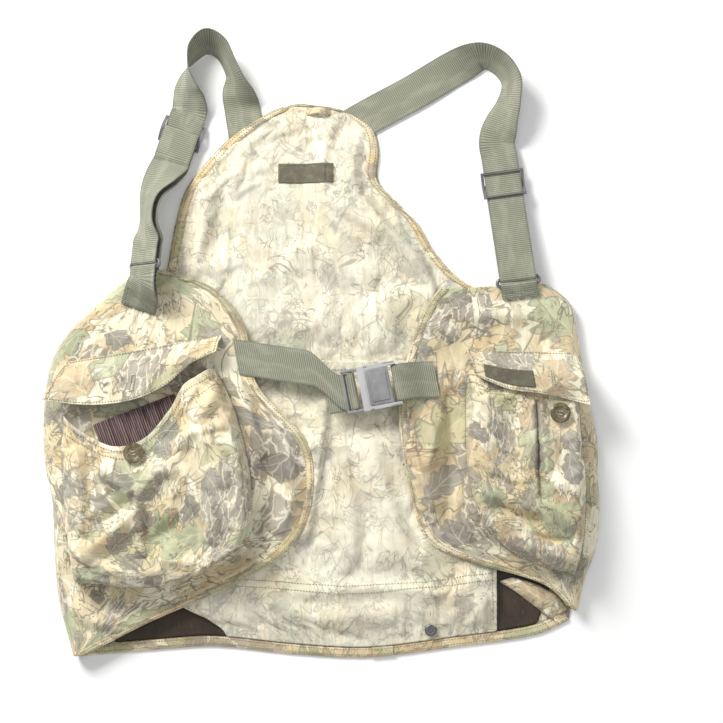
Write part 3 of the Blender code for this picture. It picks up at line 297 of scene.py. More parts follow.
leafCoats = [
    {"shift": (0.77, 0.53, 0), "wobble": 0.016, "cell": 0.055, "swing": 6.283, "lean": 0.0, "reach": 0.58,
     "width": 0.34, "lobes": 5.0, "lobeDepth": 0.34, "slant": 5.0, "bare": 0.42, "cover": 0.85, "outline": 0.55,
     "lineCover": 0.50, "veinColour": (0.86, 0.76, 0.52), "outlineColour": (0.12, 0.085, 0.05),
     "mottle": (0.80, 0.66, 0.40), "shade": (0.26, 0.15, 0.06), "mood": 1, "shy": 0.8,
     "colours": [(0.60, 0.44, 0.21), (0.74, 0.62, 0.37), (0.50, 0.35, 0.18), (0.78, 0.70, 0.47)]},
    {"shift": (0.15, 0.91, 0), "wobble": 0.014, "cell": 0.049, "swing": 6.283, "lean": 0.0, "reach": 0.56,
     "width": 0.36, "lobes": 4.0, "lobeDepth": 0.36, "slant": 4.0, "bare": 0.58, "cover": 0.88, "outline": 0.60,
     "lineCover": 0.50, "veinColour": (0.62, 0.66, 0.40), "outlineColour": (0.07, 0.075, 0.04),
     "mottle": (0.56, 0.58, 0.38), "shade": (0.13, 0.15, 0.07), "mood": 2, "shy": 0.8,
     "colours": [(0.31, 0.36, 0.20), (0.42, 0.45, 0.27), (0.56, 0.49, 0.26), (0.27, 0.30, 0.19)]},
    {"shift": (0.41, 0.27, 0), "wobble": 0.010, "cell": 0.031, "swing": 6.283, "lean": 0.0, "reach": 0.52,
     "width": 0.30, "lobes": 3.0, "lobeDepth": 0.22, "slant": 3.0, "bare": 0.82, "cover": 0.85, "outline": 0.35,
     "lineCover": 0.60, "veinColour": (0.60, 0.56, 0.46), "outlineColour": (0.05, 0.045, 0.04),
     "mottle": (0.22, 0.20, 0.19), "shade": (0.07, 0.06, 0.055), "mood": 0, "shy": 0.8,
     "colours": [(0.15, 0.135, 0.125), (0.22, 0.18, 0.14), (0.19, 0.185, 0.18)]},
]

# Uneven patches of bark and ground, some with a pale web of cracks.
patchCoats = [
    {"shift": (3.1, 0.7, 0), "grow": (1.0, 0.8), "scale": 19, "level": 0.535, "cover": 0.75, "outline": 0.10,
     "tones": [(0.50, 0.35, 0.17), (0.72, 0.56, 0.31), (0.62, 0.51, 0.31)], "web": 0.0, "cell": 0.012, "mood": 1},
    {"shift": (1.7, 5.2, 0), "grow": (1.5, 0.62), "scale": 17, "level": 0.565, "cover": 0.88, "outline": 0.50,
     "tones": [(0.17, 0.145, 0.13), (0.31, 0.275, 0.245), (0.25, 0.21, 0.185)], "web": 0.80, "cell": 0.013, "mood": 0},
    {"shift": (7.3, 2.4, 0), "grow": (0.8, 1.1), "scale": 36, "level": 0.640, "cover": 0.80, "outline": 0.40,
     "tones": [(0.32, 0.34, 0.24), (0.44, 0.46, 0.32), (0.19, 0.17, 0.15)], "web": 0.35, "cell": 0.008, "mood": 2},
]


def printPatches(tree, where, colour, look, moods):
    place = vectorMaths(tree, "ADD", where, look["shift"])
    field = noiseOf(tree, stretched(tree, place, *look["grow"]), look["scale"], 4, 0.55, 0.6)
    field = maths(tree, "MULTIPLY_ADD", moods[look["mood"]], 0.16, field)
    inside = between(tree, field, look["level"], look["level"] + 0.010)
    tone = rampOf(tree, noiseOf(tree, stretched(tree, place, 1.0, 0.35), 120, 4, 0.65, 0.5),
                  [(0.38, look["tones"][0]), (0.50, look["tones"][1]), (0.62, look["tones"][2])])
    if look["web"]:
        wobble = vectorMaths(tree, "SUBTRACT", noiseOf(tree, place, 70, 3, 0.6, colour=True), (0.5, 0.5, 0.5))
        web = vectorMaths(tree, "ADD", stretched(tree, place, 1.5, 0.55), vectorMaths(tree, "SCALE", wobble, scale=0.016))
        crack = cellsOf(tree, web, 1 / look["cell"], feature="DISTANCE_TO_EDGE").outputs["Distance"]
        tone = blendColour(tree, between(tree, crack, 0.02, 0.13, look["web"], 0.0), tone, (0.80, 0.75, 0.58))
    colour = blendColour(tree, maths(tree, "MULTIPLY", inside, look["cover"]), colour, tone)
    rim = between(tree, maths(tree, "ABSOLUTE", maths(tree, "SUBTRACT", field, look["level"])), 0.002, 0.012, look["outline"], 0.0)
    return blendColour(tree, rim, colour, (0.10, 0.08, 0.055))


# Bark streaks and scribbled twigs under the leaves.
def printBark(tree, where):
    streaks = noiseOf(tree, stretched(tree, where, 1.0, 0.16), 130, 4, 0.68, 0.5)
    broad = noiseOf(tree, stretched(tree, where, 1.0, 0.5), 20, 4, 0.6)
    colour = rampOf(tree, streaks, [(0.30, (0.38, 0.31, 0.20)), (0.43, (0.74, 0.66, 0.46)), (0.54, (0.89, 0.84, 0.66))])
    colour = blendColour(tree, between(tree, broad, 0.52, 0.64, 0.0, 0.5), colour, (0.60, 0.60, 0.44))
    return blendColour(tree, between(tree, broad, 0.46, 0.34, 0.0, 0.6), colour, (0.74, 0.60, 0.36))


def printTwigs(tree, where, colour, amount, ink=(0.12, 0.09, 0.06)):
    for scale, grow, wide in ((15, (1.0, 0.6), 0.008), (27, (0.7, 1.0), 0.010), (48, (1.2, 0.7), 0.013)):
        place = stretched(tree, where, *grow)
        wander = noiseOf(tree, place, scale, 3, 0.6, 0.5)
        line = between(tree, maths(tree, "ABSOLUTE", maths(tree, "SUBTRACT", wander, 0.5)), wide * 0.4, wide * 1.5, 1.0, 0.0)
        patch = between(tree, noiseOf(tree, where, scale * 0.8, 2), 0.44, 0.54)
        colour = blendColour(tree, maths(tree, "MULTIPLY", maths(tree, "MULTIPLY", line, patch), amount), colour, ink)
    return colour


def twill(tree, where, pitch, slope=1.0):
    spot = partsOf(tree, where)
    slant = maths(tree, "MULTIPLY_ADD", spot[1], slope, spot[0])
    return maths(tree, "SINE", maths(tree, "MULTIPLY", slant, tau / pitch))


clothLooks = {
    "camoCloth": {"cover": 1.0, "pale": (0.90, 0.86, 0.68), "fade": 0.13, "twigs": 0.80, "creaseFade": 0.35},
    "camoTape": {"cover": 1.0, "pale": (0.74, 0.60, 0.38), "fade": 0.30, "twigs": 0.6, "creaseFade": 0.2},
    "camoReverse": {"cover": 0.42, "pale": (0.84, 0.825, 0.705), "fade": 0.38, "twigs": 0.80, "creaseFade": 0.2},
}


def makeCamo(name):
    look = clothLooks[name]
    made, tree, shader = startMaterial(name, 0.93)
    where = clothPlace(tree)
    mood = tree.nodes.new("ShaderNodeAttribute")
    mood.attribute_name = "mood"
    moods = partsOf(tree, mood.outputs["Color"])
    colour = printBark(tree, where)
    for coat in patchCoats:
        coat = dict(coat)
        coat["cover"] *= look["cover"]
        coat["outline"] *= mix(0.6, 1.0, look["cover"])
        colour = printPatches(tree, where, colour, coat, moods)
    for coat in leafCoats:
        coat = dict(coat)
        coat["cover"] *= look["cover"]
        coat["outline"] *= mix(0.75, 1.0, look["cover"])
        coat["lineCover"] *= look["cover"]
        colour = printLeaves(tree, where, colour, coat, moods)
    colour = printTwigs(tree, where, colour, look["twigs"])
    fade = between(tree, noiseOf(tree, where, 12, 3, 0.6), 0.30, 0.72, look["fade"] * 0.7, min(look["fade"] * 1.25 + 0.08, 1.0))
    colour = blendColour(tree, fade, colour, look["pale"])
    worn = tree.nodes.new("ShaderNodeAttribute")
    worn.attribute_name = "worn"
    paleEdges = maths(tree, "MULTIPLY", worn.outputs["Fac"], between(tree, noiseOf(tree, where, 170, 3, 0.6), 0.35, 0.65))
    colour = blendColour(tree, maths(tree, "MULTIPLY", paleEdges, look["creaseFade"] + 0.25), colour, look["pale"])
    weave = twill(tree, where, 0.0011, 1.0)
    yarn = noiseOf(tree, where, 900, 2, 0.6)
    grain = maths(tree, "MULTIPLY_ADD", weave, 0.5, yarn)
    colour = blendColour(tree, between(tree, grain, -0.2, 1.4, 0.10, 0.0, smooth=False), colour, (0.05, 0.045, 0.03))
    feed(tree, shader.inputs["Base Color"], colour)
    shader.inputs["Sheen Weight"].default_value = 0.15
    shader.inputs["Sheen Roughness"].default_value = 0.5
    soft = bumpOf(tree, noiseOf(tree, where, 90, 4, 0.6), 0.35, 0.0012)
    feed(tree, shader.inputs["Normal"], bumpOf(tree, grain, 0.35, 0.00012, soft))
    return made


def makeLiner():
    made, tree, shader = startMaterial("brownLiner", 0.6)
    where = clothPlace(tree)
    patchy = noiseOf(tree, where, 35, 4, 0.6)
    colour = rampOf(tree, patchy, [(0.3, (0.026, 0.015, 0.008)), (0.7, (0.060, 0.036, 0.020))])
    scuff = between(tree, noiseOf(tree, stretched(tree, where, 1, 0.3), 240, 3), 0.62, 0.75, 0.0, 0.3)
    colour = blendColour(tree, scuff, colour, (0.13, 0.09, 0.055))
    feed(tree, shader.inputs["Base Color"], colour)
    feed(tree, shader.inputs["Roughness"], between(tree, patchy, 0.3, 0.7, 0.50, 0.68))
    soft = bumpOf(tree, noiseOf(tree, where, 60, 3), 0.5, 0.002)
    feed(tree, shader.inputs["Normal"], bumpOf(tree, twill(tree, where, 0.0013), 0.2, 0.0001, soft))
    return made


webbingLook = {"rib": 0.0021, "light": (0.335, 0.340, 0.255), "dark": (0.105, 0.112, 0.078), "dust": (0.42, 0.42, 0.33)}


def makeWebbing():
    look = webbingLook
    made, tree, shader = startMaterial("sageWebbing", 0.82)
    where = clothPlace(tree)
    spot = partsOf(tree, where)
    across = maths(tree, "SINE", maths(tree, "MULTIPLY", spot[1], tau / look["rib"]))
    lengthwise = maths(tree, "SINE", maths(tree, "MULTIPLY", spot[0], tau / 0.0012))
    weave = maths(tree, "MULTIPLY_ADD", maths(tree, "MULTIPLY", across, lengthwise), 0.45, maths(tree, "MULTIPLY", across, 0.55))
    colour = blendColour(tree, between(tree, weave, -0.8, 0.8), look["dark"], look["light"])
    spread = noiseOf(tree, stretched(tree, where, 1, 0.4), 70, 3, 0.6)
    colour = blendColour(tree, between(tree, spread, 0.40, 0.75, 0.0, 0.35), colour, look["dust"])
    selvage = between(tree, maths(tree, "ABSOLUTE", spot[0]), 0.0168, 0.0178, 0.0, 0.35)
    colour = blendColour(tree, selvage, colour, (0.10, 0.12, 0.10))
    feed(tree, shader.inputs["Base Color"], colour)
    shader.inputs["Sheen Weight"].default_value = 0.12
    feed(tree, shader.inputs["Normal"], bumpOf(tree, weave, 0.5, 0.00025))
    return made


def makePlastic(name, light, dark, roughness):
    made, tree, shader = startMaterial(name, roughness)
    where = piecePlace(tree)
    cloudy = noiseOf(tree, where, 45, 4, 0.6, flat=False)
    colour = blendColour(tree, between(tree, cloudy, 0.35, 0.7), dark, light)
    geometry = tree.nodes.new("ShaderNodeNewGeometry")
    # Painted highlight: the colour is lighter on the sharp convex edges.
    paleEdges = between(tree, geometry.outputs["Pointiness"], 0.53, 0.60, 0.0, 0.5)
    colour = blendColour(tree, paleEdges, colour, tuple(min(c * 2.6 + 0.05, 1) for c in light))
    scratch = between(tree, noiseOf(tree, stretched(tree, where, 1, 0.08), 700, 2, flat=False), 0.66, 0.70, 0.0, 0.25)
    colour = blendColour(tree, scratch, colour, tuple(min(c * 2.0 + 0.05, 1) for c in light))
    feed(tree, shader.inputs["Base Color"], colour)
    feed(tree, shader.inputs["Roughness"], between(tree, cloudy, 0.3, 0.7, roughness - 0.06, roughness + 0.10))
    feed(tree, shader.inputs["Normal"], bumpOf(tree, noiseOf(tree, where, 1500, 2, flat=False), 0.12, 0.0001))
    return made


def makeButton():
    made, tree, shader = startMaterial("oliveButton", 0.34)
    where = piecePlace(tree)
    swirl = noiseOf(tree, where, 160, 3, 0.6, 1.2, flat=False)
    colour = rampOf(tree, swirl, [(0.3, (0.050, 0.038, 0.016)), (0.5, (0.13, 0.105, 0.050)), (0.7, (0.24, 0.20, 0.11))])
    feed(tree, shader.inputs["Base Color"], colour)
    feed(tree, shader.inputs["Roughness"], between(tree, swirl, 0.3, 0.7, 0.26, 0.42))
    shader.inputs["Coat Weight"].default_value = 0.2
    return made


def makeMetal():
    made, tree, shader = startMaterial("gunmetal", 0.36)
    where = piecePlace(tree)
    cloudy = noiseOf(tree, where, 300, 3, 0.6, flat=False)
    feed(tree, shader.inputs["Base Color"], blendColour(tree, cloudy, (0.09, 0.09, 0.10), (0.26, 0.26, 0.27)))
    shader.inputs["Metallic"].default_value = 0.9
    feed(tree, shader.inputs["Roughness"], between(tree, cloudy, 0.3, 0.7, 0.30, 0.50))
    return made


def makeElastic():
    made, tree, shader = startMaterial("plumElastic", 0.95)
    where = clothPlace(tree)
    spot = partsOf(tree, where)
    warp = noiseOf(tree, where, 120, 2)
    ruche = maths(tree, "SINE", maths(tree, "MULTIPLY_ADD", spot[1], tau / 0.0030, maths(tree, "MULTIPLY", warp, 2.2)))
    # Painted shade: the colour darkens in the valleys of the ruche and lightens on its crests, along the same wave as
    # the bump.
    colour = blendColour(tree, between(tree, ruche, -0.9, 0.7), (0.035, 0.020, 0.020), (0.25, 0.17, 0.165))
    fine = maths(tree, "SINE", maths(tree, "MULTIPLY", spot[0], tau / 0.0010))
    feed(tree, shader.inputs["Base Color"], blendColour(tree, between(tree, fine, -1, 1, 0.0, 0.2), colour, (0.30, 0.22, 0.22)))
    feed(tree, shader.inputs["Normal"], bumpOf(tree, ruche, 0.7, 0.0006))
    return made


def makeLabel():
    made, tree, shader = startMaterial("wovenLabel", 0.85)
    where = clothPlace(tree)
    spot = partsOf(tree, where)
    warp = maths(tree, "SINE", maths(tree, "MULTIPLY", spot[0], tau / 0.0009))
    weft = maths(tree, "SINE", maths(tree, "MULTIPLY", spot[1], tau / 0.0011))
    weave = maths(tree, "MULTIPLY", warp, weft)
    colour = blendColour(tree, between(tree, weave, -1, 1), (0.085, 0.078, 0.050), (0.17, 0.16, 0.115))
    dusty = between(tree, noiseOf(tree, where, 120, 3), 0.45, 0.75, 0.0, 0.4)
    colour = blendColour(tree, dusty, colour, (0.26, 0.245, 0.18))
    feed(tree, shader.inputs["Base Color"], colour)
    feed(tree, shader.inputs["Normal"], bumpOf(tree, weave, 0.4, 0.00015))
    return made


def makeThread(name, light, dark):
    made, tree, shader = startMaterial(name, 0.8)
    where = piecePlace(tree)
    twist = noiseOf(tree, where, 900, 2, flat=False)
    feed(tree, shader.inputs["Base Color"], blendColour(tree, between(tree, twist, 0.35, 0.65), dark, light))
    feed(tree, shader.inputs["Normal"], bumpOf(tree, twist, 0.3, 0.0001))
    return made


setStage()
skins = {name: makeCamo(name) for name in clothLooks}
skins["liner"] = makeLiner()
skins["webbing"] = makeWebbing()
skins["plastic"] = makePlastic("darkPlastic", (0.085, 0.078, 0.088), (0.045, 0.040, 0.050), 0.40)
skins["buckle"] = makePlastic("greyPlastic", (0.245, 0.245, 0.250), (0.150, 0.150, 0.157), 0.34)
skins["button"] = makeButton()
skins["metal"] = makeMetal()
skins["elastic"] = makeElastic()
skins["label"] = makeLabel()
skins["thread"] = makeThread("oliveThread", (0.42, 0.36, 0.24), (0.18, 0.15, 0.10))
skins["paleThread"] = makeThread("paleThread", (0.72, 0.68, 0.54), (0.45, 0.42, 0.33))
skins["webThread"] = makeThread("sageThread", (0.30, 0.33, 0.27), (0.12, 0.14, 0.11))
print("materials made")


# A smooth line through drafted points, evenly spaced.
def smoothLine(points, count=120, fitted=True):
    rows = [list(fit(*point) if fitted else Vector(point)) for point in points]
    rows = [rows[0], *rows, rows[-1]]
    fine = []
    for k in range(1, len(rows) - 2):
        for step in range(16):
            t = step / 16
            fine.append([0.5 * (2 * b + (c - a) * t + (2 * a - 5 * b + 4 * c - d) * t * t
                                + (3 * b - a - 3 * c + d) * t ** 3)
                         for a, b, c, d in zip(*rows[k - 1:k + 3])])
    fine.append(rows[-2])
    return resample(fine, count)


def resample(rows, count):
    reach = [0.0]
    for one, two in zip(rows, rows[1:]):
        reach.append(reach[-1] + math.dist(one[:3], two[:3]))
    spaced = []
    k = 0
    for step in range(count):
        want = reach[-1] * step / (count - 1)
        while k < len(rows) - 2 and reach[k + 1] < want:
            k += 1
        t = min(max((want - reach[k]) / max(reach[k + 1] - reach[k], 1e-9), 0.0), 1.0)
        spaced.append([mix(a, b, t) for a, b in zip(rows[k], rows[k + 1])])
    return spaced


def at(line, share):
    place = min(max(share, 0.0), 1.0) * (len(line) - 1)
    k = min(int(place), len(line) - 2)
    return Vector([mix(a, b, place - k) for a, b in zip(line[k], line[k + 1])])


def rightOf(line, share):
    ahead = at(line, share + 0.01) - at(line, share - 0.01)
    return Vector((ahead.y, -ahead.x, 0.0)).normalized()


foldBoost = 2.0


# Height added by a set of folds: each runs along a path, with its own width on either side.
def foldHeights(folds, places):
    total = np.zeros(len(places))
    for path, high, leftWide, rightWide in folds:
        line = np.array(smoothLine(path, 14))[:, :2]
        best = np.full(len(places), 1e9)
        share = np.zeros(len(places))
        side = np.zeros(len(places))
        for k in range(len(line) - 1):
            start = line[k]
            step = line[k + 1] - start
            t = np.clip(((places - start) @ step) / (step @ step), 0, 1)
            off = places - (start + t[:, None] * step)
            far = np.hypot(off[:, 0], off[:, 1])
            closer = far < best
            best = np.where(closer, far, best)
            share = np.where(closer, (k + t) / (len(line) - 1), share)
            side = np.where(closer, step[0] * off[:, 1] - step[1] * off[:, 0], side)
        wide = np.where(side > 0, leftWide, rightWide)
        total += foldBoost * high * np.exp(-(best / wide) ** 2) * np.clip(np.sin(np.pi * share), 0, 1) ** 0.4
    return total


def crumple(places, depth, pitch, seed):
    return np.array([depth * noise.fractal(Vector((x / pitch + seed, y / pitch, seed * 1.7)), 0.75, 2.1, 5)
                     for x, y in places])


# A grid bent to surface(u, v), with its cloth coordinates in metres.
def gridPiece(name, surface, columns, rows, skin, printed=None, printAt=(0.0, 0.0)):
    points = [surface(i / columns, j / rows) for j in range(rows + 1) for i in range(columns + 1)]
    faces = []
    for j in range(rows):
        for i in range(columns):
            k = j * (columns + 1) + i
            faces.append((k, k + 1, k + columns + 2, k + columns + 1))
    mesh = bpy.data.meshes.new(name)
    mesh.from_pydata(points, [], faces)
    if sum(face.normal.z * face.area for face in mesh.polygons) < 0:
        mesh.flip_normals()
    layer = mesh.uv_layers.new(name="cloth")
    for loop in mesh.loops:
        i = loop.vertex_index % (columns + 1)
        j = loop.vertex_index // (columns + 1)
        spot = printed(i / columns, j / rows) if printed else points[loop.vertex_index][:2]
        layer.data[loop.index].uv = (spot[0] + printAt[0], spot[1] + printAt[1])
    mesh.shade_smooth()
    mesh.materials.append(skins[skin])
    piece = bpy.data.objects.new(name, mesh)
    bpy.context.scene.collection.objects.link(piece)
    piece["columns"] = columns
    piece["rows"] = rows
    return piece


def placesOf(piece):
    flat = np.empty(len(piece.data.vertices) * 3)
    piece.data.vertices.foreach_get("co", flat)
    return flat.reshape(-1, 3)


def putPlaces(piece, places):
    piece.data.vertices.foreach_set("co", np.ascontiguousarray(places).ravel())
    piece.data.update()


def lift(piece, heights):
    places = placesOf(piece)
    places[:, 2] += heights
    putPlaces(piece, places)


# Shares of the grid, as arrays: across and down.
def gridShares(piece):
    columns = piece["columns"]
    rows = piece["rows"]
    down, across = np.divmod(np.arange((columns + 1) * (rows + 1)), columns + 1)
    return across / columns, down / rows


def onPiece(piece, u, v):
    columns = piece["columns"]
    rows = piece["rows"]
    x = min(max(u, 0.0), 1.0) * columns
    y = min(max(v, 0.0), 1.0) * rows
    i = min(int(x), columns - 1)
    j = min(int(y), rows - 1)
    verts = piece.data.vertices
    k = j * (columns + 1) + i
    four = (verts[k], verts[k + 1], verts[k + columns + 1], verts[k + columns + 2])
    shares = ((1 - x + i) * (1 - y + j), (x - i) * (1 - y + j), (1 - x + i) * (y - j), (x - i) * (y - j))
    point = sum((w * p.co for w, p in zip(shares, four)), Vector())
    normal = sum((w * p.normal for w, p in zip(shares, four)), Vector()).normalized()
    return point, normal


# Cloth that has a little more length than its frame: it buckles between its pinned edges.
def settle(piece, pins, grow, frames=18, pressure=0.0, bending=3.0, cap=0.006, under=(), stiffness=14, gravity=0.3):
    scene = bpy.context.scene
    before = placesOf(piece).copy()
    group = piece.vertex_groups.new(name="pins")
    for index, weight in enumerate(pins):
        group.add([index], float(min(max(weight, 0.0), 1.0)), "REPLACE")
    cloth = piece.modifiers.new("cloth", "CLOTH")
    settings = cloth.settings
    settings.quality = 6
    settings.mass = 0.25
    settings.air_damping = 3
    settings.tension_stiffness = stiffness
    settings.compression_stiffness = stiffness
    settings.shear_stiffness = stiffness * 0.4
    settings.bending_stiffness = bending
    settings.vertex_group_mass = "pins"
    settings.pin_stiffness = 1
    settings.shrink_min = -grow
    settings.effector_weights.gravity = gravity
    if pressure:
        settings.use_pressure = True
        settings.uniform_pressure_force = pressure
    cloth.collision_settings.use_collision = bool(under)
    cloth.collision_settings.distance_min = 0.0012
    for piece2 in under:
        piece2.modifiers.new("bump", "COLLISION")
        piece2.collision.thickness_outer = 0.0012
    cloth.point_cache.frame_start = 1
    cloth.point_cache.frame_end = frames
    for step in range(1, frames + 1):
        scene.frame_set(step)
    view = piece.evaluated_get(bpy.context.evaluated_depsgraph_get())
    flat = np.empty(len(before) * 3)
    view.to_mesh().vertices.foreach_get("co", flat)
    view.to_mesh_clear()
    piece.modifiers.clear()
    piece.vertex_groups.clear()
    for piece2 in under:
        piece2.modifiers.remove(piece2.modifiers["bump"])
    scene.frame_set(1)
    moved = flat.reshape(-1, 3) - before
    far = np.linalg.norm(moved, axis=1)
    moved *= (cap * np.tanh(far / cap) / np.maximum(far, 1e-9))[:, None]
    putPlaces(piece, before + moved)
    print(piece.name, "settled, moved up to", round(float(far.max()) * 1000, 1), "mm")


# Keeps a piece at least a gap above another.
def restOn(piece, under, gap):
    tree = BVHTree.FromPolygons([v.co for v in under.data.vertices], [p.vertices for p in under.data.polygons])
    places = placesOf(piece)
    for k, (x, y, z) in enumerate(places):
        hit = tree.ray_cast(Vector((x, y, 0.2)), Vector((0, 0, -1)))[0]
        if hit and z < hit.z + gap:
            places[k, 2] = hit.z + gap
    putPlaces(piece, places)


# Lies flat where a strap is sewn on: (x, y, reach).
def flatten(piece, spots, height):
    places = placesOf(piece)
    top = places[:, 2] > height * 0.6
    for x, y, reach in spots:
        spot = fit(x, y)
        far = np.hypot(places[:, 0] - spot.x, places[:, 1] - spot.y)
        share = np.exp(-(far / reach) ** 4) * top
        places[:, 2] -= np.maximum(places[:, 2] - height, 0) * share
    putPlaces(piece, places)


# Keeps a piece below a button that sits on it.
def duckUnder(piece, node, reach, gap):
    low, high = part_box(node)
    places = placesOf(piece)
    far = np.hypot(places[:, 0] - (low.x + high.x) / 2, places[:, 1] - (low.y + high.y) / 2)
    share = np.clip(2.0 - far / reach, 0, 1)
    cap = low.z - gap
    places[:, 2] -= np.maximum(places[:, 2] - cap, 0) * share
    putPlaces(piece, places)


def wornEdges(piece, amount):
    values = np.clip(amount, 0, 1)
    layer = piece.data.attributes.new("worn", "FLOAT", "POINT")
    layer.data.foreach_set("value", values.astype(np.float32))


# Where the print runs to bark, to dry leaves or to green ones: (x, y, reach, bark, dry, green).
def setMood(piece, spots):
    places = placesOf(piece)
    moods = np.zeros((len(places), 4))
    for x, y, reach, *strength in spots:
        spot = fit(x, y)
        share = np.exp(-((places[:, 0] - spot.x) ** 2 + (places[:, 1] - spot.y) ** 2) / reach ** 2)
        moods[:, :3] += share[:, None] * np.array(strength)
    layer = piece.data.attributes.new("mood", "FLOAT_COLOR", "POINT")
    layer.data.foreach_set("color", np.clip(moods, -1, 1).astype(np.float32).ravel())


# Lets a lower cloth down wherever an upper one covers it, and slopes it off beside.
def tuckUnder(piece, upper, gap, lowest):
    tree = BVHTree.FromPolygons([v.co for v in upper.data.vertices], [p.vertices for p in upper.data.polygons])
    places = placesOf(piece)
    caps = np.full(len(places), 1.0)
    for k, (x, y, z) in enumerate(places):
        hit = tree.ray_cast(Vector((x, y, 0.2)), Vector((0, 0, -1)))[0]
        if hit:
            caps[k] = hit.z - gap
    caps = caps.reshape(piece["rows"] + 1, piece["columns"] + 1)
    for step in range(14):
        for axis in (0, 1):
            for way in (1, -1):
                near = np.roll(caps, way, axis=axis)
                caps = np.minimum(caps, near + 0.0011)
    places[:, 2] = np.maximum(np.minimum(places[:, 2], caps.ravel()), lowest)
    putPlaces(piece, places)


def thicken(piece, thickness, finer=0, offset=0.0):
    if finer:
        smooth = piece.modifiers.new("finer", "SUBSURF")
        smooth.levels = finer
        smooth.render_levels = finer
        smooth.boundary_smooth = "ALL"
    shell = piece.modifiers.new("thickness", "SOLIDIFY")
    shell.thickness = thickness
    shell.offset = offset
    shell.use_even_offset = False


# Short raised stitches along a run of (point, normal) pairs, all in one mesh.
def sewStitches(name, runs, pitch=0.0030, fill=0.62, thick=0.00042, rise=0.00030, skin="thread"):
    points = []
    faces = []
    for run in runs:
        rows = resample([[*p, *n] for p, n in run], max(3, int(sum(
            math.dist(a[0], b[0]) for a, b in zip(run, run[1:])) / pitch) * 2 + 1))
        for k in range(0, len(rows) - 2, 2):
            one = Vector(rows[k][:3])
            two = one.lerp(Vector(rows[k + 2][:3]), fill)
            up = Vector(rows[k][3:]).normalized()
            along = (two - one)
            if along.length < 1e-5:
                continue
            across = along.normalized().cross(up) * thick
            middle = (one + two) / 2 + up * rise
            base = len(points)
            points += [one - up * 0.0003, two - up * 0.0003]
            for share in (-0.30, 0.30):
                spot = middle + along * share
                points += [spot + across, spot + up * thick * 0.8, spot - across, spot - up * thick]
            faces += [(base, base + 2 + (q + 1) % 4, base + 2 + q) for q in range(4)]
            faces += [(base + 1, base + 6 + q, base + 6 + (q + 1) % 4) for q in range(4)]
            faces += [(base + 2 + q, base + 2 + (q + 1) % 4, base + 6 + (q + 1) % 4, base + 6 + q) for q in range(4)]
    mesh = bpy.data.meshes.new(name)
    mesh.from_pydata(points, [], faces)
    mesh.shade_smooth()
    mesh.materials.append(skins[skin])
    piece = bpy.data.objects.new(name, mesh)
    bpy.context.scene.collection.objects.link(piece)
    return piece


def runOn(piece, path, proud, count=200):
    rows = resample([[u, v, 0.0] for u, v in path], count)
    run = []
    for u, v, _ in rows:
        point, normal = onPiece(piece, u, v)
        run.append((point + normal * proud, normal))
    return run


# Outlines of the laid garment
outlines = {
    "bib": [(-0.172, 0.040), (-0.163, 0.082), (-0.154, 0.131), (-0.142, 0.166), (-0.112, 0.204),
            (-0.081, 0.231), (-0.036, 0.253), (0.012, 0.251), (0.052, 0.231), (0.061, 0.204),
            (0.059, 0.174), (0.075, 0.154), (0.102, 0.127), (0.119, 0.098), (0.145, 0.069), (0.185, 0.048)],
    "leftSide": [(-0.196, 0.072), (-0.225, 0.048), (-0.264, 0.010), (-0.284, -0.027), (-0.290, -0.080),
                 (-0.288, -0.128), (-0.280, -0.166), (-0.277, -0.216), (-0.272, -0.267), (-0.262, -0.305),
                 (-0.256, -0.326)],
    "leftEdge": [(-0.172, 0.076), (-0.112, 0.055), (-0.080, 0.013), (-0.067, -0.046), (-0.017, -0.103),
                 (-0.009, -0.155), (-0.028, -0.208), (-0.086, -0.250), (-0.180, -0.292), (-0.244, -0.325)],
    "rightSide": [(0.237, 0.060), (0.262, 0.038), (0.269, -0.002), (0.278, -0.050), (0.288, -0.103),
                  (0.288, -0.141), (0.290, -0.178), (0.285, -0.216), (0.274, -0.246), (0.266, -0.279)],
    "rightEdge": [(0.124, 0.055), (0.109, 0.034), (0.092, -0.010), (0.082, -0.061), (0.083, -0.100),
                  (0.091, -0.145), (0.109, -0.204), (0.155, -0.228), (0.229, -0.251), (0.256, -0.274)],
    "hem": [(-0.250, -0.327), (-0.146, -0.318), (-0.102, -0.317), (-0.023, -0.325), (0.051, -0.328),
            (0.134, -0.318), (0.219, -0.306), (0.258, -0.290)],
}
lines = {name: smoothLine(points) for name, points in outlines.items()}
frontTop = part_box("left_front_binding")[0].z - 0.0003
liningLow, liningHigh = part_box("back_lining")
sideRoll = 0.012
clothThick = 0.0014


# A sheet between a left chain and a right chain of points, foot to head.
def betweenChains(left, right, foot, height):
    def surface(u, v):
        point = at(left, v).lerp(at(right, v), u)
        if foot:
            level = at(left, 0.0).lerp(at(right, 0.0), u)
            point += (at(foot, u) - level) * (1 - v) ** 3
        return Vector((point.x, point.y, height))
    return surface


def chain(*parts, count=140):
    rows = []
    for name, start, end in parts:
        for k in range(61):
            row = list(at(lines[name], mix(start, end, k / 60)))
            if not rows or math.dist(row, rows[-1]) > 1e-6:
                rows.append(row)
    return resample(rows, count)


def coverPlan(line, shift):
    return [[row[0] + shift[0], row[1] + shift[1], row[2]] for row in line]


# The outer back, flat on the table.
backLook = {"columns": 90, "rows": 100, "thick": 0.0013, "wave": 0.0006, "pitch": 0.06}


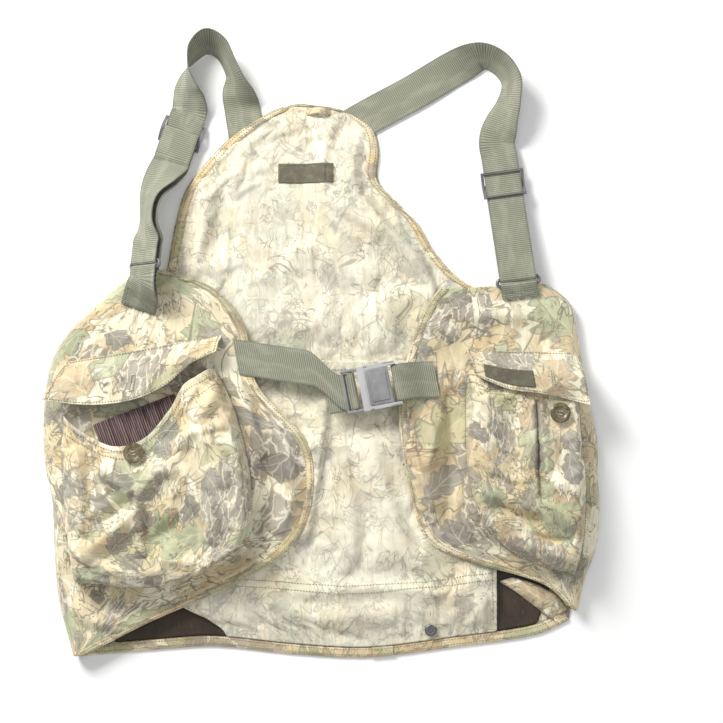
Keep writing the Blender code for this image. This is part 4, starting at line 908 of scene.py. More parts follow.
def makeBack():
    look = backLook
    inset = sideRoll * 0.6
    left = coverPlan(chain(("leftSide", 1.0, 0.08), ("bib", 0.0, 0.47)), (0, 0))
    right = chain(("rightSide", 1.0, 0.12), ("bib", 1.0, 0.53))
    left = [[x + inset * (1 - ease(k / 139 * 2.2 - 0.6)), y, z] for k, (x, y, z) in enumerate(left)]
    right = [[x - inset * (1 - ease(k / 139 * 2.2 - 0.6)), y, z] for k, (x, y, z) in enumerate(right)]
    low = look["thick"] / 2 + 0.0001
    piece = gridPiece("backCloth", betweenChains(left, right, lines["hem"], low), look["columns"], look["rows"],
                      "camoCloth", printAt=(0.9, 0.4))
    places = placesOf(piece)
    lift(piece, np.abs(crumple(places[:, :2], look["wave"], look["pitch"], 3.1)))
    thicken(piece, look["thick"])
    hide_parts("back_panel")
    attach(piece, "vest")
    return piece


# The bib's lining, with soft folds that run with its right edge.
bibLook = {
    "columns": 120, "rows": 110, "thick": 0.0012, "wave": 0.0018, "pitch": 0.055,
    "mood": [(-0.070, 0.165, 0.030, 0.9, 0, -0.4), (-0.060, 0.120, 0.022, 0.7, 0, -0.4), (0.020, 0.030, 0.032, 0.8, 0, -0.3),
             (-0.030, 0.225, 0.040, 0, 0.9, 0), (0.045, 0.180, 0.022, 0, 0.9, 0), (-0.140, 0.100, 0.030, 0, 0.8, 0),
             # The green and bark spots at (0.072, 0.140) and (0.092, 0.100) darken the print along the right-edge fold
             # valley: painted shade.
             (0.072, 0.140, 0.018, 0, 0, 1.0), (0.092, 0.100, 0.018, 0.5, 0, 1.0), (-0.020, 0.085, 0.030, -0.9, -0.8, -0.8),
             (-0.126, 0.150, 0.022, 0.2, 1.0, 0), (-0.100, 0.205, 0.024, 0, 1.0, 0), (-0.070, 0.040, 0.03, 0, 0.5, 0)],
    "folds": [
        ([(0.040, 0.225), (0.034, 0.175), (0.060, 0.128), (0.104, 0.078), (0.122, 0.030)], 0.0068, 0.007, 0.013),
        ([(0.010, 0.235), (0.004, 0.190), (0.022, 0.150), (0.060, 0.108)], 0.0035, 0.009, 0.012),
        ([(-0.120, 0.175), (-0.124, 0.120), (-0.140, 0.060)], 0.0035, 0.010, 0.014),
        ([(-0.070, 0.120), (-0.010, 0.096), (0.060, 0.066)], 0.0028, 0.012, 0.020),
        ([(-0.100, 0.060), (-0.050, 0.030), (0.020, 0.018)], 0.0022, 0.014, 0.022),
        ([(0.052, 0.050), (0.070, 0.020), (0.074, -0.012)], 0.0030, 0.010, 0.014),
    ],
}


def makeBib():
    look = bibLook
    left = chain(("bib", 0.02, 0.47))
    right = chain(("bib", 0.98, 0.53))
    left = [list(Vector(row) + rightOf(lines["bib"], 0.02 + 0.45 * k / 139) * 0.0025) for k, row in enumerate(left)]
    right = [list(Vector(row) + rightOf(lines["bib"], 0.98 - 0.45 * k / 139) * 0.0025) for k, row in enumerate(right)]
    foot = resample([list(fit(-0.172, -0.022)), list(fit(0.185, -0.022))], 20)
    left = resample([foot[0]] + left, 140)
    right = resample([foot[-1]] + right, 140)
    height = (liningLow.z + liningHigh.z) / 2
    piece = gridPiece("bibLining", betweenChains(left, right, None, height), look["columns"], look["rows"],
                      "camoReverse", printAt=(2.3, 1.1))
    places = placesOf(piece)
    across, up = gridShares(piece)
    rim = np.clip(np.minimum(across, 1 - across) / 0.06, 0, 1) * np.clip(up / 0.03, 0, 1) * np.clip((1 - up) / 0.05, 0, 1)
    rise = foldHeights(look["folds"], places[:, :2]) + crumple(places[:, :2], look["wave"], look["pitch"], 1.3) + look["wave"]
    lift(piece, np.maximum(rise, 0) * rim)
    pins = 1 - rim
    settle(piece, pins, 0.035, frames=14, bending=1.5, cap=0.004, gravity=0.0)
    places = placesOf(piece)
    places[:, 2] = np.maximum(places[:, 2], liningLow.z + 0.0006)
    putPlaces(piece, places)
    wornEdges(piece, 1 - np.clip(np.minimum(across, 1 - across) / 0.05, 0, 1))
    setMood(piece, look["mood"])
    thicken(piece, look["thick"], finer=1)
    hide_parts("back_lining")
    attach(piece, "vest")
    return piece


# The game bag's inner panel, open at its sides over the brown liner.
bagLook = {
    "columns": 110, "rows": 100, "thick": 0.0012, "wave": 0.0024, "pitch": 0.045,
    "mood": [(-0.005, -0.120, 0.018, 0.9, 0, 0), (-0.012, -0.165, 0.018, 0.9, 0, 0), (-0.020, -0.210, 0.018, 0.8, 0, 0),
             (-0.035, -0.075, 0.030, 0, 1.0, 0), (0.050, -0.275, 0.045, 0.6, 0.4, 0), (0.045, -0.140, 0.035, -0.8, -0.5, -0.8),
             (0.150, -0.270, 0.030, 0.5, 0.3, 0), (-0.090, -0.285, 0.040, 0.3, 0.6, 0.3)],
    "sides": (-0.150, 0.180), "top": -0.0195, "slant": 0.050, "seams": (0.030, 0.782, 0.806), "full": 0.0065, "mouth": 0.0045, "tape": 0.0103,
    "folds": [
        ([(0.008, -0.045), (-0.002, -0.120), (-0.017, -0.210)], 0.0040, 0.005, 0.014),
        ([(0.048, -0.095), (0.066, -0.150), (0.090, -0.215), (0.130, -0.262)], 0.0045, 0.010, 0.017),
        ([(-0.030, -0.262), (0.050, -0.255), (0.150, -0.262)], 0.0025, 0.006, 0.010),
        ([(0.020, -0.120), (0.034, -0.180), (0.030, -0.240)], 0.0030, 0.009, 0.014),
        ([(-0.060, -0.270), (0.010, -0.285), (0.090, -0.276)], 0.0030, 0.009, 0.012),
        ([(0.150, -0.238), (0.165, -0.275), (0.170, -0.300)], 0.0040, 0.006, 0.012),
    ],
}


def makeBagPanel():
    look = bagLook
    low, high = look["sides"]

    def surface(u, v):
        x = mix(low + look["slant"] * ease((v - 0.86) / 0.14), high, u)
        hem = at(lines["hem"], (x + 0.250) / 0.508)
        point = fit(x, look["top"]).lerp(hem + Vector((0, look["tape"], 0)), v)
        full = look["full"] * math.sin(math.pi * v) ** 0.8
        mouth = look["mouth"] * max(ease((u - 0.55) / 0.3), ease((0.3 - u) / 0.3)) * ease(v / 0.3) * ease((1 - v) / 0.12)
        lap = 0.0016 * (1 - ease(v / 0.05))
        return Vector((point.x, point.y, liningLow.z + look["thick"] / 2 + full + mouth + lap))
    piece = gridPiece("gameBagPanel", surface, look["columns"], look["rows"], "camoReverse", printAt=(2.9, 0.6))
    places = placesOf(piece)
    across, down = gridShares(piece)
    rim = np.clip(down / 0.05, 0, 1) * np.clip((1 - down) / 0.05, 0, 1)
    side = np.clip(np.minimum(across, 1 - across) / 0.04, 0.25, 1)
    rise = foldHeights(look["folds"], places[:, :2]) + crumple(places[:, :2], look["wave"], look["pitch"], 5.2)
    lift(piece, rise * rim * side)
    settle(piece, 1 - rim * np.clip(side + 0.3, 0, 1), 0.045, frames=14, bending=1.5, cap=0.005, gravity=0.0)
    places = placesOf(piece)
    places[:, 2] = np.maximum(places[:, 2], liningLow.z + 0.0004)
    putPlaces(piece, places)
    wornEdges(piece, 1 - np.clip(np.minimum(across, 1 - across) / 0.05, 0, 1))
    setMood(piece, look["mood"])
    thicken(piece, look["thick"], finer=1)
    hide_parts("game_bag_panel")
    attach(piece, "vest")
    return piece


def sewPanel(piece):
    runs = [runOn(piece, [(0.01, v), (0.99, v)], 0.0009, 160) for v in bagLook["seams"]]
    runs += [runOn(piece, [(u, 0.04), (u, 0.96)], 0.0009, 160) for u in (0.012, 0.986)]
    seams = sewStitches("panelStitches", runs, pitch=0.0032)
    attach(seams, "vest")


linerLook = {"columns": 90, "rows": 60, "thick": 0.0008, "inset": 0.0252, "low": 0.0021, "wave": 0.0012}


def makeLinerSheet():
    look = linerLook
    left = [[x + look["inset"], y, z] for x, y, z in chain(("leftSide", 0.97, 0.30))]
    right = [[x - look["inset"], y, z] for x, y, z in chain(("rightSide", 0.98, 0.32))]
    foot = [[x, y + 0.0103, z] for x, y, z in chain(("hem", 0.07, 0.93))]
    piece = gridPiece("brownLiner", betweenChains(left, right, foot, look["low"]), look["columns"], look["rows"],
                      "liner", printAt=(4.1, 0.3))
    places = placesOf(piece)
    across, up = gridShares(piece)
    rim = np.clip(np.minimum(across, 1 - across) / 0.05, 0, 1)
    lift(piece, np.abs(crumple(places[:, :2], look["wave"], 0.03, 8.0)) * rim)
    thicken(piece, look["thick"], finer=1)
    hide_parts("game_bag_liner")
    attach(piece, "vest")
    return piece


# The front panels: from the side seam below, round the fold and over to the bound inner edge.
frontLooks = {
    "left": {
        "columns": 120, "rows": 120, "thick": 0.0013, "wave": 0.0016, "pitch": 0.040, "grow": 0.030, "print": (6.2, 0.9),
        "flat": [(-0.085, -0.018, 0.026), (-0.188, 0.044, 0.026), (-0.252, -0.004, 0.026), (-0.216, 0.002, 0.026),
                 (-0.180, 0.009, 0.026), (-0.146, 0.016, 0.026), (-0.114, 0.020, 0.026)],
        # The bark spots at (-0.042, -0.120) and (-0.058, -0.185) darken the inner crescent: partly the print's grey
        # bark, partly painted shade.
        "mood": [(-0.042, -0.120, 0.034, 1.0, -0.6, -0.8), (-0.058, -0.185, 0.030, 0.9, -0.5, -0.6), (-0.235, -0.020, 0.022, 0.7, 0, 0),
                 (-0.150, 0.020, 0.035, -0.6, -0.2, -0.5), (-0.270, -0.270, 0.02, 0.8, 0, 0), (-0.200, -0.262, 0.03, 0, -0.3, -0.7)],
        "folds": [
            ([(-0.205, 0.045), (-0.170, 0.020), (-0.120, 0.018), (-0.095, 0.000)], 0.0040, 0.008, 0.012),
            ([(-0.250, 0.000), (-0.215, 0.012), (-0.170, 0.038)], 0.0030, 0.007, 0.010),
            ([(-0.098, -0.020), (-0.082, -0.060), (-0.060, -0.120)], 0.0050, 0.008, 0.010),
            ([(-0.052, -0.085), (-0.034, -0.120), (-0.030, -0.160), (-0.044, -0.200)], 0.0060, 0.010, 0.012),
            ([(-0.062, -0.095), (-0.058, -0.150), (-0.070, -0.200), (-0.110, -0.240)], -0.0050, 0.012, 0.010),
            ([(-0.225, -0.268), (-0.160, -0.262), (-0.100, -0.240)], -0.0025, 0.010, 0.012),
            ([(-0.270, -0.080), (-0.276, -0.150), (-0.268, -0.230)], 0.0040, 0.006, 0.009),
            ([(-0.262, -0.262), (-0.235, -0.290), (-0.200, -0.280)], 0.0030, 0.007, 0.009),
        ],
    },
    "right": {
        "columns": 120, "rows": 120, "thick": 0.0013, "wave": 0.0016, "pitch": 0.040, "grow": 0.030, "print": (7.4, 1.7),
        "flat": [(0.100, -0.043, 0.030), (0.115, -0.060, 0.022), (0.207, 0.053, 0.026), (0.160, 0.000, 0.020),
                 (0.190, 0.000, 0.020), (0.222, 0.000, 0.020), (0.254, 0.000, 0.020)],
        "mood": [(0.135, 0.010, 0.022, 0.7, 0, -0.6), (0.185, 0.030, 0.030, -0.7, -0.3, -0.6), (0.110, -0.140, 0.035, 0.0, 1.0, -0.7),
                 (0.230, 0.010, 0.022, 0, 0.7, 0), (0.095, -0.050, 0.02, 0, 0.5, 0.5)],
        "folds": [
            ([(0.130, 0.045), (0.165, 0.028), (0.220, 0.030)], 0.0030, 0.008, 0.012),
            ([(0.112, 0.020), (0.150, 0.000), (0.165, -0.020)], 0.0030, 0.008, 0.010),
            ([(0.100, -0.055), (0.116, -0.090), (0.112, -0.135), (0.122, -0.175)], 0.0060, 0.008, 0.012),
            ([(0.132, -0.050), (0.138, -0.110), (0.136, -0.165)], -0.0045, 0.008, 0.008),
            ([(0.092, -0.100), (0.102, -0.135), (0.120, -0.190)], 0.0050, 0.006, 0.009),
            ([(0.155, -0.205), (0.195, -0.236), (0.240, -0.252)], -0.0030, 0.010, 0.008),
            ([(0.278, -0.080), (0.280, -0.140), (0.276, -0.210)], 0.0030, 0.006, 0.009),
        ],
    },
}


def frontSurface(side):
    outer = lines[side + "Side"]
    inner = lines[side + "Edge"]
    outward = -1 if side == "left" else 1
    seam = 0.0024
    top = frontTop - 0.0007

    def surface(u, v):
        edge = at(outer, v)
        hem = at(inner, v)
        roll = min(sideRoll, (hem - edge).length * 0.3)
        start = Vector((edge.x - outward * roll, edge.y, 0))
        if u < 0.28:
            angle = math.pi * u / 0.28
            x = start.x + outward * roll * math.sin(angle)
            return Vector((x, start.y, seam + (top - seam) / 2 * (1 - math.cos(angle))))
        point = start.lerp(hem, (u - 0.28) / 0.72)
        return Vector((point.x, point.y, top))
    return surface


def makeFront(side):
    look = frontLooks[side]
    size = (0.225, 0.43) if side == "left" else (0.185, 0.36)
    piece = gridPiece(f"{side}Front", frontSurface(side), look["columns"], look["rows"], "camoCloth",
                      printed=lambda u, v: (u * size[0], -v * size[1]), printAt=look["print"])
    places = placesOf(piece)
    across, down = gridShares(piece)
    rim = np.clip((across - 0.28) / 0.10, 0, 1) * np.clip(down / 0.04, 0, 1) * np.clip((1 - down) / 0.05, 0, 1)
    rise = foldHeights(look["folds"], places[:, :2]) + crumple(places[:, :2], look["wave"], look["pitch"], 2.0 + size[0] * 9)
    lift(piece, rise * rim)
    pins = 1 - rim * np.clip((1 - across) / 0.06, 0.3, 1)
    settle(piece, pins, look["grow"], frames=16, bending=2.0, cap=0.005, gravity=0.0)
    flatten(piece, look["flat"], frontTop - 0.0007)
    wornEdges(piece, np.maximum(1 - np.abs(across - 0.16) / 0.06, 0))
    setMood(piece, look["mood"])
    thicken(piece, look["thick"], finer=1)
    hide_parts(f"{side}_front_panel")
    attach(piece, "vest")
    return piece


# Tape folded over an edge. Points run along the edge, with the way in and the way up.
tapeLook = {"width": 0.0095, "half": 0.0013, "thick": 0.0007}


def makeTape(name, rows, printAt, replaced, double=True, low=None):
    look = tapeLook
    shape = [(look["width"], look["half"]), (look["width"] * 0.75, look["half"] * 1.3), (look["width"] * 0.45, look["half"] * 1.35),
             (look["width"] * 0.15, look["half"] * 1.15), (-0.0004, look["half"] * 0.5), (-0.0004, -look["half"] * 0.5),
             (look["width"] * 0.15, -look["half"]), (look["width"] * 0.6, -look["half"])]

    def surface(u, v):
        place = v * (len(rows) - 1)
        k = min(int(place), len(rows) - 2)
        t = place - k
        point = rows[k][0].lerp(rows[k + 1][0], t)
        inward = rows[k][1].lerp(rows[k + 1][1], t)
        up = rows[k][2].lerp(rows[k + 1][2], t)
        spot = u * (len(shape) - 1)
        q = min(int(spot), len(shape) - 2)
        reach = mix(shape[q][0], shape[q + 1][0], spot - q)
        high = mix(shape[q][1], shape[q + 1][1], spot - q)
        ripple = 0.00025 * math.sin(v * len(rows) * 0.9) * (1 - u)
        out = point + inward * reach + up * (high + ripple)
        if low is not None:
            out.z = max(out.z, low)
        return out
    length = sum((b[0] - a[0]).length for a, b in zip(rows, rows[1:]))
    piece = gridPiece(name, surface, 14, max(40, int(length / 0.0035)), "camoTape",
                      printed=lambda u, v: (u * 0.017, v * length), printAt=printAt)
    thicken(piece, look["thick"], finer=1)
    if replaced:
        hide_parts(replaced)
    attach(piece, "vest")
    runs = [[(rows[k][0] + rows[k][1] * reach + rows[k][2] * (look["half"] * 1.3 + 0.0003), rows[k][2])
             for k in range(len(rows))] for reach in ((0.0022, 0.0075) if double else (0.0065,))]
    seam = sewStitches(name + "Stitches", runs)
    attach(seam, "vest")
    return piece


def edgeRows(piece, u, start=0.0, end=1.0, count=150):
    rows = []
    for k in range(count):
        v = mix(start, end, k / (count - 1))
        point, normal = onPiece(piece, u, v)
        inner, _ = onPiece(piece, u + (0.06 if u < 0.5 else -0.06), v)
        up = Vector((normal.x * 0.5, normal.y * 0.5, abs(normal.z) + 0.2)).normalized()
        inward = inner - point
        inward = (inward - up * inward.dot(up)).normalized()
        rows.append((point, inward, up))
    return rows


# Bellows pockets.
pocketLooks = {
    "left": {
        "lip": [(-0.268, -0.078), (-0.240, -0.098), (-0.210, -0.110), (-0.180, -0.101), (-0.155, -0.072),
                (-0.138, -0.044), (-0.108, -0.032)],
        "bottom": [(-0.252, -0.250), (-0.210, -0.251), (-0.165, -0.248), (-0.130, -0.236), (-0.104, -0.220)],
        "leftSeam": [(-0.268, -0.078), (-0.268, -0.130), (-0.262, -0.200), (-0.252, -0.250)],
        "rightSeam": [(-0.108, -0.032), (-0.086, -0.085), (-0.073, -0.150), (-0.078, -0.195), (-0.104, -0.220)],
        "depth": 0.030, "columns": 110, "rows": 110, "grow": 0.05, "print": (9.1, 2.2), "size": (0.24, 0.23),
        "mood": [(-0.262, -0.150, 0.016, 0.9, -0.4, -0.6), (-0.262, -0.190, 0.016, 0.9, -0.4, -0.6), (-0.100, -0.170, 0.028, 0.9, -0.5, -0.6),
                 (-0.195, -0.145, 0.018, -0.7, -0.2, 1.0), (-0.135, -0.085, 0.030, -0.6, 0.7, -0.4), (-0.205, -0.220, 0.030, -0.3, 0.9, 0),
                 (-0.150, -0.200, 0.025, -0.4, 0.4, 0.5), (-0.215, -0.170, 0.022, 0.2, -0.5, -0.4)],
        "folds": [
            ([(-0.246, -0.222), (-0.222, -0.200), (-0.196, -0.176), (-0.186, -0.166)], 0.0080, 0.005, 0.012),
            ([(-0.232, -0.190), (-0.212, -0.176), (-0.196, -0.168)], -0.0060, 0.007, 0.006),
            ([(-0.187, -0.165), (-0.184, -0.190), (-0.180, -0.220)], 0.0045, 0.006, 0.010),
            ([(-0.226, -0.130), (-0.206, -0.146), (-0.192, -0.156)], 0.0050, 0.006, 0.009),
            ([(-0.190, -0.158), (-0.172, -0.142), (-0.160, -0.128)], 0.0050, 0.007, 0.006),
            ([(-0.150, -0.120), (-0.132, -0.146), (-0.114, -0.176), (-0.116, -0.206)], 0.0060, 0.008, 0.010),
            ([(-0.128, -0.088), (-0.150, -0.118), (-0.160, -0.140)], 0.0040, 0.007, 0.008),
            ([(-0.127, -0.088), (-0.108, -0.110), (-0.098, -0.150)], 0.0040, 0.007, 0.008),
            ([(-0.127, -0.086), (-0.112, -0.060), (-0.104, -0.044)], 0.0040, 0.007, 0.008),
            ([(-0.250, -0.110), (-0.246, -0.150), (-0.244, -0.200)], 0.0045, 0.006, 0.008),
            ([(-0.222, -0.232), (-0.190, -0.236), (-0.160, -0.232)], 0.0040, 0.006, 0.008),
            ([(-0.206, -0.196), (-0.170, -0.200), (-0.140, -0.180)], -0.0040, 0.008, 0.010),
            ([(-0.216, -0.126), (-0.200, -0.146), (-0.189, -0.166)], 0.0026, 0.0035, 0.005),
            ([(-0.166, -0.124), (-0.178, -0.146), (-0.187, -0.166)], 0.0026, 0.005, 0.0035),
            ([(-0.186, -0.170), (-0.178, -0.182), (-0.176, -0.196)], -0.0035, 0.0045, 0.0045),
            ([(-0.238, -0.206), (-0.214, -0.188), (-0.192, -0.170)], -0.0028, 0.0030, 0.0040),
            ([(-0.127, -0.088), (-0.136, -0.064), (-0.126, -0.046)], 0.0022, 0.004, 0.004),
            ([(-0.120, -0.100), (-0.100, -0.096), (-0.086, -0.104)], -0.0025, 0.004, 0.005),
            ([(-0.150, -0.160), (-0.128, -0.186), (-0.126, -0.214)], -0.0030, 0.005, 0.006),
            ([(-0.206, -0.236), (-0.168, -0.222), (-0.130, -0.226)], 0.0030, 0.004, 0.007),
        ],
    },
    "right": {
        "lip": [(0.152, -0.034), (0.190, -0.040), (0.230, -0.044), (0.266, -0.050)],
        "bottom": [(0.165, -0.178), (0.182, -0.204), (0.206, -0.224), (0.240, -0.237), (0.262, -0.242)],
        "leftSeam": [(0.152, -0.034), (0.151, -0.080), (0.153, -0.130), (0.165, -0.178)],
        "rightSeam": [(0.266, -0.050), (0.270, -0.100), (0.274, -0.160), (0.271, -0.210), (0.262, -0.242)],
        "depth": 0.030, "columns": 110, "rows": 110, "grow": 0.04, "print": (10.3, 3.1), "size": (0.19, 0.22),
        "mood": [(0.180, -0.100, 0.020, 0.7, 0, -0.3), (0.252, -0.190, 0.026, -0.4, 0.1, 1.0), (0.205, -0.120, 0.018, -0.4, 0.2, 0.9),
                 (0.200, -0.155, 0.030, -0.4, 0.8, -0.3), (0.236, -0.214, 0.018, 0.8, 0, 0), (0.240, -0.110, 0.02, 0.3, 0.6, 0)],
        "folds": [
            ([(0.2215, -0.060), (0.2240, -0.110), (0.2260, -0.165)], -0.0050, 0.0022, 0.0022),
            ([(0.2270, -0.062), (0.2290, -0.110), (0.2300, -0.160)], 0.0025, 0.005, 0.004),
            ([(0.166, -0.150), (0.190, -0.160), (0.214, -0.168), (0.240, -0.178), (0.262, -0.190)], 0.0055, 0.006, 0.011),
            ([(0.176, -0.166), (0.200, -0.178), (0.226, -0.186)], -0.0045, 0.006, 0.007),
            ([(0.180, -0.176), (0.210, -0.198), (0.236, -0.218), (0.256, -0.236)], 0.0050, 0.007, 0.009),
            ([(0.238, -0.140), (0.254, -0.150), (0.268, -0.160)], 0.0035, 0.006, 0.008),
            ([(0.164, -0.060), (0.170, -0.100), (0.176, -0.140)], 0.0030, 0.008, 0.010),
            ([(0.196, -0.060), (0.200, -0.100), (0.202, -0.140)], -0.0030, 0.009, 0.009),
            ([(0.244, -0.100), (0.250, -0.120), (0.262, -0.135)], -0.0030, 0.006, 0.007),
            ([(0.160, -0.128), (0.176, -0.140), (0.204, -0.150)], -0.0026, 0.004, 0.006),
            ([(0.196, -0.190), (0.226, -0.202), (0.258, -0.206)], -0.0030, 0.004, 0.006),
            ([(0.172, -0.092), (0.184, -0.108), (0.204, -0.116)], 0.0020, 0.004, 0.005),
        ],
    },
}


def makePocket(side, front):
    look = pocketLooks[side]
    lip, bottom, leftSeam, rightSeam = (smoothLine(look[key]) for key in ("lip", "bottom", "leftSeam", "rightSeam"))
    foot = frontTop + 0.0013
    wall = 0.14
    span = math.dist(lip[0], lip[-1])
    edge = min(0.012 / span, 0.2)
    middle = (at(lip, 0.5) + at(bottom, 0.5)) / 2

    def inset(share):
        if share < wall:
            return share / wall * edge
        if share > 1 - wall:
            return 1 - (1 - share) / wall * edge
        return edge + (share - wall) / (1 - 2 * wall) * (1 - 2 * edge)

    def surface(u, v):
        x = inset(u)
        y = min(1.0, inset(0.5 + v / 2) * 2 - 1)
        across = at(lip, x).lerp(at(bottom, x), y)
        down = at(leftSeam, y).lerp(at(rightSeam, y), x)
        corner = at(lip, 0).lerp(at(lip, 1), x).lerp(at(bottom, 0).lerp(at(bottom, 1), x), y)
        point = across + down - corner
        rise = min(ease(min(u, 1 - u) / wall), ease((1 - v) / wall))
        belly = 0.85 + 0.15 * math.sin(math.pi * v)
        near = min(min(u, 1 - u) / wall, (1 - v) / wall)
        bulge = 0.005 * math.sin(math.pi * min(max(near * 0.8, 0.0), 1.0))
        away = Vector((point.x - middle.x, point.y - middle.y, 0)).normalized()
        point = Vector((point.x, point.y, 0)) + away * bulge
        return point + Vector((0, 0, foot + look["depth"] * belly * rise))
    piece = gridPiece(f"{side}Pocket", surface, look["columns"], look["rows"], "camoCloth",
                      printed=lambda u, v: (u * look["size"][0], -v * look["size"][1]), printAt=look["print"])
    places = placesOf(piece)
    across, down = gridShares(piece)
    rim = np.clip(np.minimum(across, 1 - across) / 0.16, 0, 1) * np.clip((1 - down) / 0.16, 0, 1)
    mouth = np.clip(down / 0.06, 0.25, 1)
    rise = foldHeights(look["folds"], places[:, :2]) + crumple(places[:, :2], 0.0022, 0.030, 4.0 + span * 7)
    lift(piece, rise * rim * mouth)
    seam = np.clip(np.minimum(np.minimum(across, 1 - across), 1 - down) / 0.05, 0, 1)
    settle(piece, np.maximum(1 - seam, (1 - np.clip(down / 0.05, 0, 1)) * 0.6), look["grow"], frames=18, pressure=0.25,
           bending=2.5, cap=0.007, gravity=0.0)
    # The tallest folds sag a little
    high = cadHigh.z + 0.001
    places = placesOf(piece)
    places[:, 2] = np.where(places[:, 2] > high, high + (places[:, 2] - high) * 0.6, places[:, 2])
    putPlaces(piece, places)
    duckUnder(piece, f"{side}_pocket_button", 0.014, 0.0012 if side == "left" else 0.0042)
    restOn(piece, front, 0.0014)
    wornEdges(piece, np.maximum(1 - down / 0.03, 0))
    setMood(piece, look["mood"])
    thicken(piece, 0.0013, finer=1)
    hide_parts(f"{side}_pocket_bag")
    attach(piece, "vest")
    runs = [runOn(piece, [(0.02, s), (0.98, s)], 0.0010) for s in (0.030, 0.075)]
    runs.append(runOn(piece, [(0.012, 0.02), (0.012, 0.98), (0.5, 0.985), (0.988, 0.98), (0.988, 0.02)], 0.0010, 300))
    seams = sewStitches(f"{side}PocketStitches", runs)
    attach(seams, "vest")
    return piece


# A small turned-back corner of the right front's edge, and the folded wall of the bag at its corner.
turnedLooks = {
    "turnedCorner": {"rows": [[(0.086, -0.062), (0.086, -0.062)], [(0.0665, -0.088), (0.088, -0.092)], [(0.0845, -0.128), (0.0865, -0.128)]],
                     "height": 0.004, "rise": 0.0045, "skin": "camoReverse", "slot": "camo_cloth", "print": (31.0, 0.4), "size": (0.020, 0.066)},
    "foldedWall": {"rows": [[(0.186, -0.250), (0.200, -0.246)], [(0.205, -0.262), (0.226, -0.254)], [(0.226, -0.278), (0.246, -0.266)],
                            [(0.240, -0.289), (0.256, -0.279)]],
                   "height": 0.004, "rise": 0.0080, "skin": "camoCloth", "slot": "camo_cloth", "print": (33.0, 2.4), "size": (0.026, 0.085)},
}


def makeTurned(name, under):
    look = turnedLooks[name]
    sides = [smoothLine([row[k] for row in look["rows"]]) for k in range(2)]

    def surface(u, v):
        point = at(sides[0], v).lerp(at(sides[1], v), u)
        rise = look["rise"] * math.sin(math.pi * u) ** 0.7 * math.sin(math.pi * min(max(v, 0.0), 1.0)) ** 0.5
        return Vector((point.x, point.y, look["height"] + rise + 0.0012 * math.sin(u * 7 + v * 9)))
    piece = gridPiece(name, surface, 30, 70, look["skin"],
                      printed=lambda u, v: (u * look["size"][0], -v * look["size"][1]), printAt=look["print"])
    places = placesOf(piece)
    lift(piece, crumple(places[:, :2], 0.0016, 0.018, 9.4))
    restOn(piece, under, 0.0015)
    thicken(piece, 0.0012, finer=1)
    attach(piece, "vest")


flapLooks = {
    "left": {"seam": [(-0.266, -0.022), (-0.104, 0.006)],
             "hem": [(-0.288, -0.062), (-0.240, -0.067), (-0.195, -0.062), (-0.160, -0.046), (-0.134, -0.024), (-0.108, -0.012)],
             "rise": 0.0165, "print": (12.2, 0.4), "size": (0.185, 0.050),
             "curl": [(0.97, 0.006), (0.02, 0.002)], "buttonhole": (0.47, 0.66)},
    "right": {"seam": [(0.152, -0.010), (0.266, -0.012)],
              "hem": [(0.158, -0.037), (0.192, -0.051), (0.226, -0.056), (0.248, -0.060), (0.276, -0.068)],
              "rise": 0.0344, "print": (13.4, 1.3), "size": (0.125, 0.065), "curl": [(0.0, 0.001), (1.0, 0.001)],
              "buttonhole": (0.70, 0.60)},
}


def makeFlap(side):
    look = flapLooks[side]
    start, end = (fit(*point, frontTop + 0.0010) for point in look["seam"])
    hem = smoothLine(look["hem"])
    columns, rows = 110, 44

    def surface(u, v):
        seam = start.lerp(end, u)
        tip = at(hem, u)
        point = seam.lerp(Vector((tip.x, tip.y, seam.z)), v)
        curl = sum(high * math.exp(-((u - place) / 0.10) ** 2) for place, high in look["curl"]) * v * v
        wave = 0.0009 * math.sin(u * 9 + v * 3) * v
        return Vector((point.x, point.y, seam.z + look["rise"] * ease(v * 1.9) + curl + wave))
    piece = gridPiece(f"{side}Flap", surface, columns, rows, "camoCloth",
                      printed=lambda u, v: (u * look["size"][0], -v * look["size"][1]), printAt=look["print"])
    across, down = gridShares(piece)
    places = placesOf(piece)
    lift(piece, crumple(places[:, :2], 0.0014, 0.035, 6.6) * np.clip(down / 0.25, 0, 1) + 0.0006 * np.clip(down / 0.3, 0, 1))
    if side == "right":
        duckUnder(piece, "right_pocket_button", 0.014, 0.0012)
    wornEdges(piece, np.maximum(1 - (1 - down) / 0.08, 0))
    thicken(piece, 0.0017, finer=1)
    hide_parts(f"{side}_pocket_flap")
    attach(piece, f"{side}_flap")
    rim = [(0.015, 0.03), (0.015, 0.955), (0.5, 0.955), (0.985, 0.955), (0.985, 0.03)]
    u, v = look["buttonhole"]
    wide, tall = 0.010, 0.15
    runs = [runOn(piece, [(0.01, 0.035), (0.99, 0.035)], 0.0012), runOn(piece, rim, 0.0012, 260)]
    seams = sewStitches(f"{side}FlapStitches", runs)
    hole = []
    for k in range(2):
        hole.append(runOn(piece, [(u - wide + 2 * wide * k, v - tall), (u - wide + 2 * wide * k, v + tall)], 0.0011, 20))
    for k in range(2):
        hole.append(runOn(piece, [(u - wide * 1.5, v - tall + 2 * tall * k), (u + wide * 1.5, v - tall + 2 * tall * k)], 0.0011, 6))
    worked = sewStitches(f"{side}Buttonhole", hole, pitch=0.0008, fill=0.95, thick=0.0007, skin="paleThread")
    for made in (seams, worked):
        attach(made, f"{side}_flap")
    return piece


elasticLooks = {"left": [(-0.231, -0.103), (-0.147, -0.071)], "right": [(0.170, -0.090), (0.255, -0.094)]}


